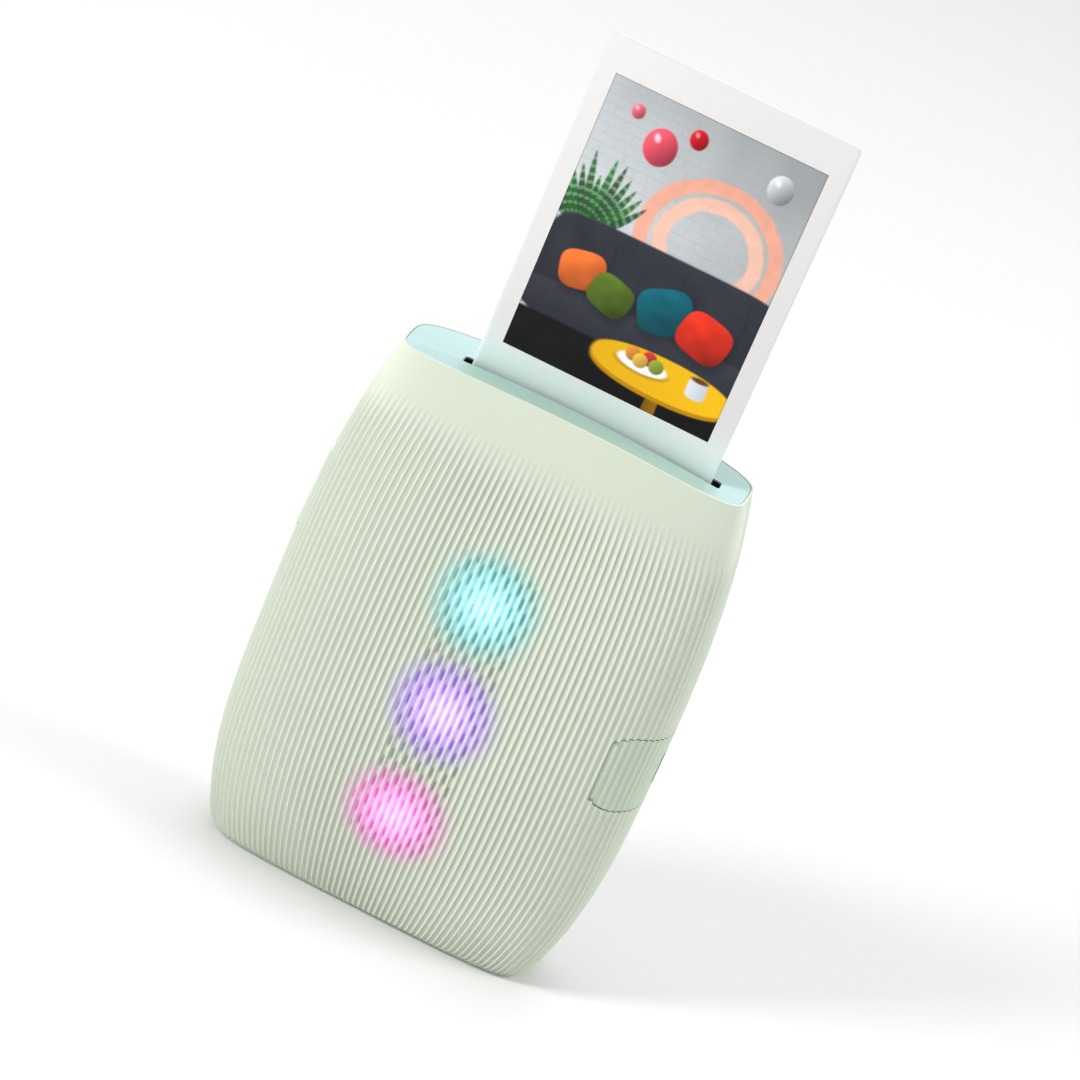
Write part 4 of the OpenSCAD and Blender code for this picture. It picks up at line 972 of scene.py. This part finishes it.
def over(img, mask, colour, light=1.0):
    """Lays a colour over the picture where the mask is 1; light shades it from place to place."""
    c = np.array(colour, float) * np.asarray(light, float)[..., None]
    img[:] = img * (1 - mask[..., None]) + c * mask[..., None]


def oval(u, v, cx, cy, rx, ry, turn=0.0, power=2.0):
    """Signed distance, roughly, to a superellipse turned by an angle in degrees."""
    a = math.radians(turn)
    x = (u - cx) * math.cos(a) + (v - cy) * math.sin(a)
    y = -(u - cx) * math.sin(a) + (v - cy) * math.cos(a)
    return ((abs(x) / rx) ** power + (abs(y) / ry) ** power) ** (1 / power) * min(rx, ry) - min(rx, ry)


def waves(u, v, scale, seed):
    """Smooth unevenness between about -1 and 1: a sum of sine waves in seeded directions."""
    r = np.random.default_rng(seed)
    out = 0
    for _ in range(9):
        a, f, s = r.uniform(0, 2 * np.pi), scale * r.uniform(0.5, 2.2), r.uniform(0, 6.28)
        out = out + np.sin((u * math.cos(a) + v * math.sin(a)) * f + s) / 9
    return out * 1.8


print("picture of", PX, "by", PZ, "points")

# %% [markdown]
# # The living room
# A pale brick wall with a painted arch and balloons, a plant, a sofa with cushions, and a round
# table with a plate and a cup. What is further away is painted first. Across the picture u runs
# from 0 to 1, and upward v runs from 0 to about 1.35.
# %% Wall and balloons
BRICK_W, BRICK_H = 0.12, 0.045
LEAVES, LEAF_REACH, LEAF_FAN = 13, (0.30, 0.42), (-58, 48)
# radius and colour of each painted arch
ARCHES = [(0.30, (0.98, 0.66, 0.55)), (0.215, (0.99, 0.76, 0.66))]
# middle, radius and colour of each balloon
BALLOONS = [(0.30, 1.13, 0.075, (0.95, 0.36, 0.44)), (0.44, 1.235, 0.040, (0.84, 0.12, 0.18)),
            (0.84, 1.19, 0.058, (0.80, 0.82, 0.84)), (0.155, 1.235, 0.030, (0.96, 0.45, 0.52))]


def paint_wall(img, u, v):
    """Brick joints where the distance to a course line or a head joint is small, and rings for the arch."""
    img *= (1.02 - 0.17 * u - 0.22 * np.clip(v - 0.85, 0, 1) + 0.02 * waves(u, v, 14, 1))[..., None]
    course = v / BRICK_H
    bed = abs((course + 0.5) % 1 - 0.5) * BRICK_H
    head = abs((u / BRICK_W + 0.5 * (np.floor(course) % 2)) % 1 - 0.5) * BRICK_W
    over(img, soft(np.minimum(bed, head) - 0.0012, 0.006) * 0.28, (0.55, 0.57, 0.59))
    for r, c in ARCHES:
        d = abs(np.hypot(u - 0.66, (v - 0.80) * 1.05) - r) - 0.033 + 0.004 * waves(u, v, 60, 3)
        over(img, soft(d, 0.012) * (v > 0.60) * 0.8, c, 0.98 + 0.03 * waves(u, v, 40, 5))


def paint_plant(img, u, v, reaches):
    """Fan of leaves: each is a bent strip of width sin(pi s / reach)^0.7 along its length s, with teeth."""
    x, y = u - 0.135, v - 0.60
    for k, (turn, reach) in enumerate(zip(np.linspace(*LEAF_FAN, LEAVES), reaches)):
        a = math.radians(turn)
        s = x * math.sin(a) + y * math.cos(a)
        w = x * math.cos(a) - y * math.sin(a) + 0.5 * s * s * math.sin(a)
        leaf = abs(w) - 0.017 * np.sin(np.pi * np.clip(s / reach, 0, 1)) ** 0.7
        teeth = 0.6 + 0.4 * (np.sin(s * 170 + k) > -0.3)
        green = (0.20 + 0.02 * (k % 3), 0.38 + 0.03 * (k % 4), 0.24)
        over(img, soft(leaf, 0.008) * (s > 0) * (s < reach) * teeth, green, 0.75 + 0.8 * s)


def paint_balloons(img, u, v):
    """Each balloon is an oval on a wavy string, lighter towards the upper left, with a gloss."""
    for x, y, r, c in BALLOONS:
        string = abs(u - x + 0.02 * np.sin((y - v) * 20)) - 0.0012
        over(img, soft(string, 0.003) * (v < y) * (v > y - 0.30) * 0.5, (0.7, 0.66, 0.64))
        light = 0.86 + 0.25 * np.clip(((y - v) * -0.6 + (x - u) * 0.8) / r, -1, 1)
        over(img, soft(oval(u, v, x, y, r, r * 1.16)), c, light)
        gloss = oval(u, v, x - 0.35 * r, y + 0.45 * r, 0.18 * r, 0.26 * r, 25)
        over(img, soft(gloss, 0.012) * 0.7, (1, 1, 1))


print("balloons", len(BALLOONS))

# %% [markdown]
# The sofa, its cushions and the table stand in front. A cushion is a superellipse, turned a little,
# with a soft dark shape behind it as its shadow.
# %% Sofa and table
SOFA_SEAMS = (0.30, 0.62, 0.93)
# middle, size, turn in degrees and colour of each cushion
CUSHIONS = [(0.20, 0.47, 0.105, 12, (0.93, 0.47, 0.22)), (0.355, 0.42, 0.10, -16, (0.36, 0.46, 0.16)),
            (0.60, 0.46, 0.125, 22, (0.06, 0.40, 0.46)), (0.80, 0.43, 0.12, -14, (0.88, 0.22, 0.14))]
# middle and colour of each fruit
FRUIT = [(0.545, 0.225, (0.93, 0.60, 0.26)), (0.62, 0.232, (0.84, 0.26, 0.22)),
         (0.585, 0.208, (0.95, 0.78, 0.34)), (0.66, 0.212, (0.60, 0.70, 0.26))]


def paint_sofa(img, u, v):
    """Back, seams, seat and dark floor, from superellipses of high power, which are nearly boxes."""
    back = oval(u, v, 0.55, 0.44, 0.56, 0.27, 0, 6)
    over(img, soft(back, 0.008), (0.22, 0.23, 0.265), 0.85 + 0.35 * (v - 0.3) + 0.06 * waves(u, v, 18, 7))
    for x in SOFA_SEAMS:
        seam = abs(u - x + 0.01 * np.sin(v * 20)) - 0.002
        over(img, soft(seam, 0.008) * (v < 0.66) * (v > 0.34) * 0.7, (0.15, 0.155, 0.18))
    seat = oval(u, v, 0.55, 0.29, 0.60, 0.085, 0, 5)
    over(img, soft(seat, 0.008), (0.26, 0.27, 0.31), 0.75 + 1.2 * (v - 0.22))
    over(img, soft(v - 0.205, 0.012), (0.085, 0.085, 0.10), 1.0 + 0.15 * waves(u, v, 26, 9))


def paint_cushions(img, u, v):
    """Superellipses of power 3.2, shaded by a slope and by folds that are seeded from their size."""
    for x, y, r, turn, c in CUSHIONS:
        shadow = oval(u, v, x + 0.012, y - 0.018, r, r * 0.86, turn, 3.2)
        over(img, soft(shadow, 0.05) * 0.5, (0.10, 0.10, 0.12))
        slope = np.clip((v - y + 0.5 * (x - u)) / r, -1, 1)
        fold = 0.88 + 0.20 * slope + 0.07 * waves(u - x, v - y, 40, int(r * 1000))
        over(img, soft(oval(u, v, x, y, r, r * 0.86, turn, 3.2)), c, fold)


def paint_table(img, u, v):
    """Shadow, leg, edge and top of the table, then the plate with fruit, and the cup."""
    over(img, soft(oval(u, v, 0.70, 0.065, 0.40, 0.10), 0.06) * 0.55, (0.04, 0.04, 0.05))
    leg = np.maximum(abs(u - 0.70) - 0.028 - 0.05 * (0.10 - v), v - 0.16)
    over(img, soft(leg, 0.008), (0.66, 0.47, 0.04), 0.7 + 3 * (u - 0.66))
    over(img, soft(oval(u, v, 0.70, 0.155, 0.335, 0.095, 0, 2.2)), (0.74, 0.53, 0.03))
    top = oval(u, v, 0.70, 0.175, 0.335, 0.095, 0, 2.2)
    over(img, soft(top), (0.95, 0.74, 0.10), 0.92 + 0.12 * (u - 0.4))
    over(img, soft(oval(u, v, 0.60, 0.185, 0.125, 0.040), 0.012), (0.70, 0.53, 0.08))
    over(img, soft(oval(u, v, 0.60, 0.195, 0.120, 0.040)), (0.93, 0.93, 0.94))
    for x, y, c in FRUIT:
        light = 0.85 + 3.2 * np.clip(v - y - (u - x), -0.05, 0.05)
        over(img, soft(oval(u, v, x, y, 0.034, 0.034)), c, light)
    over(img, soft(oval(u, v, 0.86, 0.200, 0.046, 0.050, 0, 4)), (0.90, 0.92, 0.95), 0.9 - 1.2 * (u - 0.86))
    over(img, soft(oval(u, v, 0.86, 0.243, 0.040, 0.012)), (0.40, 0.27, 0.18))


print("cushions", len(CUSHIONS), "fruit", len(FRUIT))

# %% [markdown]
# The parts are painted from back to front. A little contrast, a dark rim, as a window in a card has,
# and faint noise make it look like one printed sheet.
# %% Whole picture
def living_room():
    """The whole picture as rows of screen values, from the bottom up, with a dark rim and faint noise."""
    rng = np.random.default_rng(SEED)
    u, v = np.meshgrid((np.arange(PX) + 0.5) / PX, (np.arange(PZ) + 0.5) / PX)
    img = np.ones((PZ, PX, 3)) * [0.80, 0.82, 0.83]
    paint_wall(img, u, v)
    paint_plant(img, u, v, rng.uniform(*LEAF_REACH, LEAVES))
    paint_balloons(img, u, v)
    paint_sofa(img, u, v)
    paint_cushions(img, u, v)
    paint_table(img, u, v)
    rim = np.minimum(np.minimum(u, 1 - u), np.minimum(v, PZ / PX - v))
    img = ((img - 0.45) * 1.10 + 0.46) * (1 - 0.45 * soft(rim - 0.004, 0.006))[..., None]
    img += 0.010 * rng.standard_normal(img.shape)
    return np.clip(img, 0, 1)


picture = living_room()
print("picture", picture.shape, "mean", picture.mean((0, 1)).round(2))

# %% [markdown]
# # The instant print
# A stiff white card with a picture window. Its lower border is wider, because it holds the pod of
# developer, and its back is black. The picture is a sheet of small squares with one colour for each
# point, laid a hair above the card, which has rounded corners and a tiny rounding at its rim.
# %% Print
PRINT_UP = 76
PRINT_Z0 = BODY_H + PRINT_UP - FILM_H
PRINT_FACE, PRINT_BACK = FILM_Y - FILM_T / 2, FILM_Y + FILM_T / 2
WINDOW_W, WINDOW_H, WINDOW_TOP = 46, 62, 7.7
WINDOW_Z1 = PRINT_Z0 + FILM_H - WINDOW_TOP
PANEL_W, PANEL_H, PANEL_UP, PANEL_ROUND, CARD_ROUND = 47.5, 69, 0.4, 0.8, 1.2
PICTURE_LIFT, PANEL_IN = 0.005, 0.05
# heights over the body where the card's painted light near its foot starts and is full
FOOT_FROM, FOOT_TO = 13, 1
# depth and inset of the card's rings, from its face to its back
CARD_RINGS = [(PRINT_FACE + 0.02, 0.06), (PRINT_FACE + 0.06, 0), (PRINT_BACK - 0.06, 0),
              (PRINT_BACK - 0.01, 0.05)]


def colour_grid(name, xs, zs, y, colours):
    """Flat sheet facing the front with a colour at each point of its grid."""
    x, z = np.meshgrid(xs, zs)
    verts = np.stack([x, np.full_like(x, y), z], -1).reshape(-1, 3)
    obj = new_object(name, verts, ring_faces(len(zs), len(xs), closed=False))
    mark = obj.data.color_attributes.new("picture", "FLOAT_COLOR", "POINT")
    full = np.concatenate([linear(colours), np.ones((*colours.shape[:2], 1))], -1)
    mark.data.foreach_set("color", full.reshape(-1).astype(np.float32))
    return obj


def print_card(t, p, shade, g, bump):
    """White laminate with painted light and a painted green reflection of the cap near its foot."""
    # painted light and reflection: towards its foot the card is lighter and greener
    foot = t.span(t.xyz()[2], (BODY_H + FOOT_FROM) * MM, (BODY_H + FOOT_TO) * MM)
    t.put(p.inputs["Base Color"], t.mix(foot, shade, srgb(238, 253, 251)))


def print_picture(t, p, shade, g, bump):
    """Takes its colour from the points of the sheet."""
    t.put(p.inputs["Base Color"], t.add("ShaderNodeAttribute", attribute_name="picture").outputs["Color"])
    t.put(p.inputs["Specular IOR Level"], 0.15)


paper = material("print card", srgb(230, 229, 228), 0.34, grain_height=0.004, tone=0.01, edit=print_card)
ink = material("print picture", (0.5, 0.5, 0.5), 0.3, grain_height=0.002, edit=print_picture)
black_back = material("print back", srgb(30, 31, 34), 0.28, grain_height=0.003)
card = rounded(FILM_X, PRINT_Z0 + FILM_H / 2, FILM_W, FILM_H, CARD_ROUND, 8)
inward = np.sign(card - [FILM_X, PRINT_Z0 + FILM_H / 2])
sheet = stack("print_card", np.array([lift(card - inward * d, "Y", y) for y, d in CARD_RINGS]))
done(sheet, "print", paper, ["instant_print"])
xs = np.linspace(*about(FILM_X, WINDOW_W / 2), PX)
zs = np.linspace(WINDOW_Z1 - WINDOW_H, WINDOW_Z1, PZ)
window = colour_grid("print_picture", xs, zs, PRINT_FACE + PICTURE_LIFT, picture)
done(window, "print", ink, angle=180)
back = rounded(FILM_X, PRINT_Z0 + FILM_H / 2 + PANEL_UP, PANEL_W, PANEL_H, PANEL_ROUND, 6)
panel = prism("print_back_panel", back, "Y", FILM_Y + PANEL_IN, PRINT_BACK)
done(panel, "print", black_back)

# %% [markdown]
# # Finishes of the inner pieces
# The pieces behind the case are what the real printer needs: frames, rollers, gears, a motor, a
# board, a cell, a cassette. They keep the meshes of the solids, because they show only when the
# door or the cover is open, and get finishes for what they are made of. Turned steel, tracks on a
# board and a lit diffuser each add one effect to the shared grain.
# %% Inner finishes
def board_tracks(t, p, shade, g, bump):
    """Fine copper tracks under the green mask, where a cell pattern is near its borders."""
    tiles = t.add("ShaderNodeTexVoronoi", {"Vector": t.place(), "Scale": 420.0},
                  feature="DISTANCE_TO_EDGE", distance="MANHATTAN")
    line = t.times(t.span(tiles.outputs["Distance"], 0.10, 0.05), 0.55)
    t.put(p.inputs["Base Color"], t.mix(line, shade, srgb(96, 158, 104)))


def turned_marks(t, p, shade, g, bump):
    """Fine lines of turning or rolling, as a stretched noise in the bump."""
    m = t.add("ShaderNodeMapping", {"Vector": t.place(), "Scale": (9000.0, 500.0, 500.0)})
    lines = t.add("ShaderNodeTexNoise", {"Vector": m.outputs[0], "Scale": 1.0, "Detail": 3.0})
    t.put(bump.inputs["Height"], lines.outputs[0])


def lit_guide(colour):
    """A diffuser that glows, a little unevenly, in the colour of its light."""
    def edit(t, p, shade, g, bump):
        t.put(p.inputs["Emission Color"], t.mix(g.outputs["Tone"], tuple(0.7 * c for c in colour), colour))
        t.put(p.inputs["Emission Strength"], 0.8)
    return edit


frame_plastic = material("frame plastic", srgb(78, 82, 84), 0.55, grain_height=0.04)
steel = material("bright steel", srgb(198, 200, 204), 0.28, 1.0, 0.01, edit=turned_marks)
foam = material("light seal foam", srgb(32, 32, 33), 0.95, grain_height=0.12, tone=0.12)
bush_plastic = material("bush plastic", srgb(216, 208, 178), 0.45)
gear_plastic = material("gear acetal", srgb(236, 233, 224), 0.38)
brass = material("machined brass", srgb(212, 168, 88), 0.25, 1.0, 0.01, edit=turned_marks)
rubber = material("roller rubber", srgb(38, 38, 40), 0.85, grain_height=0.05, tone=0.1)
lens = material("clear lens", srgb(190, 208, 222), 0.08, transmission_weight=0.8)
cable = material("amber cable", srgb(200, 134, 60), 0.35)
board = material("board mask", srgb(42, 110, 72), 0.3, edit=board_tracks)
chip = material("chip package", srgb(34, 36, 38), 0.6)
cell = material("cell film", srgb(146, 166, 184), 0.35, 0.4)
led = material("emitter lens", srgb(244, 243, 230), 0.3)
guides = [material("light guide " + name, tints[2], edit=lit_guide(tints[2]))
          for name, tints in LIGHTS.items()]
INNER = [(frame_plastic, "chassis door_liner"), (foam, "chamber_seal slot_seal"),
         (steel, "hinge_pin gear_plate gear_pins motor board_screws usb_socket shell_screws claw_pins "
                 "claw_spring pack_springs latch_spring rear_roller front_roller pick_claw"),
         (dark_plastic, "exposure_head power_switch film_cassette"), (bush_plastic, "roller_bushes"),
         (lens, "head_lens"), (cable, "head_cable"), (board, "main_board usb_board"),
         (chip, "board_chips"), (cell, "battery"), (led, "led_chips"), (guides[0], "glow_guide_upper"),
         (guides[1], "glow_guide_middle"), (guides[2], "glow_guide_lower"), (paper, "film_stack"),
         (sage_rear, "door_hinge_leaf"), (rubber, "rear_roller_sleeve front_roller_sleeve"),
         (gear_plastic, "rear_roller_gear front_roller_gear idler_gear second_gear first_gear"),
         (brass, "motor_pinion")]
finished = []
for finish, names in INNER:
    for name in names.split():
        NODES[name].data.materials.clear()
        NODES[name].data.materials.append(finish)
        finished.append(name)
plain = [n for n, o in NODES.items() if n not in finished and not o.hide_render]
print("inner finishes", len(finished), "left plain", plain)

# %% [markdown]
# # Springs
# Two coil springs push back the catch of the door and the claw that feeds a sheet. Each is a round
# wire carried along a helix, and it rides the body of its fixed end.
# %% Springs
WIRE_POINTS, COIL_POINTS, CLAW_TRAVEL, SPRING_LEFT = 10, 26, 4.5, 0.05


def coil(name, node, body, turns, wire):
    """Helix (r cos t, r sin t, c t) with a round wire, filling the box of the spring's solid."""
    low, high = (np.array(p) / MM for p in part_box(node))
    middle, radius = (low + high)[:2] / 2, (high - low)[:2].min() / 2 - wire
    t = np.linspace(0, 2 * np.pi * turns, turns * COIL_POINTS)[:, None]
    a = np.linspace(0, 2 * np.pi, WIRE_POINTS + 1)[:-1]
    reach = radius + wire * np.cos(a)
    z = low[2] + wire + (high[2] - low[2] - 2 * wire) * t / t[-1]
    obj = stack(name, np.stack([middle[0] + reach * np.cos(t), middle[1] + reach * np.sin(t),
                                z + wire * np.sin(a)], -1))
    done(obj, body, steel, [node], angle=60)
    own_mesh(obj)


coil("latch_spring_coil", "latch_spring", "door",
     turns=5, wire=0.17)
coil("claw_spring_coil", "claw_spring", "housing",
     turns=7, wire=0.15)

# %% [markdown]
# # Studio
# A very pale floor and an even white surround. A soft light from the upper left shapes the ribs, a
# wide one above fills the top, and a weak one from the right lifts the shaded side. A backdrop
# would show its horizon, so the floor alone runs on past the view: it is bright enough to read as
# white, and still keeps a soft shadow round the base.
# %% Studio
FLOOR_HALF, FLOOR_DROP, FLOOR_GREY, FLOOR_GLOW, SURROUND = 4, 0.0002, 0.66, 0.10, 0.22


def area_light(name, place, aim, size, power):
    """Square soft light at a place, turned to a point; power in watts."""
    data = bpy.data.lights.new(name, "AREA")
    data.shape, data.size, data.energy = "SQUARE", size, power
    obj = bpy.data.objects.new(name, data)
    bpy.context.scene.collection.objects.link(obj)
    obj.location = place
    obj.rotation_euler = (Vector(place) - Vector(aim)).to_track_quat("Z", "Y").to_euler()


def bright_floor(t, p, shade, g, bump):
    """Adds a little light of its own, so the floor reads as white."""
    t.put(p.inputs["Emission Color"], WHITE)
    t.put(p.inputs["Emission Strength"], FLOOR_GLOW)


area_light("key", place=(-1.22, -0.95, 1.28), aim=(0, 0, 0.07), size=0.5, power=30.0)
area_light("top", place=(-0.1, 0.35, 1.9), aim=(0, 0.1, 0), size=1.4, power=24.0)
area_light("rim", place=(1.00, 0.10, 0.85), aim=(0.03, 0, 0.10), size=0.5, power=8.5)
world = bpy.data.worlds.new("surround")
bpy.context.scene.world = world
world.use_nodes = True
background = world.node_tree.nodes["Background"].inputs
background[0].default_value, background[1].default_value = (1, 1, 1, 1), SURROUND
corners = [(x * FLOOR_HALF, y * FLOOR_HALF, 0) for x, y in ((-1, -1), (1, -1), (1, 1), (-1, 1))]
floor = new_object("floor", corners, [(0, 1, 2, 3)])
floor.location = (0, 0, -FLOOR_DROP)
floor.data.materials.append(material("floor", (FLOOR_GREY,) * 3, 0.8, tone=0.002, grain_height=0.001,
                                     edit=bright_floor))
bpy.context.scene.view_settings.view_transform = "Standard"
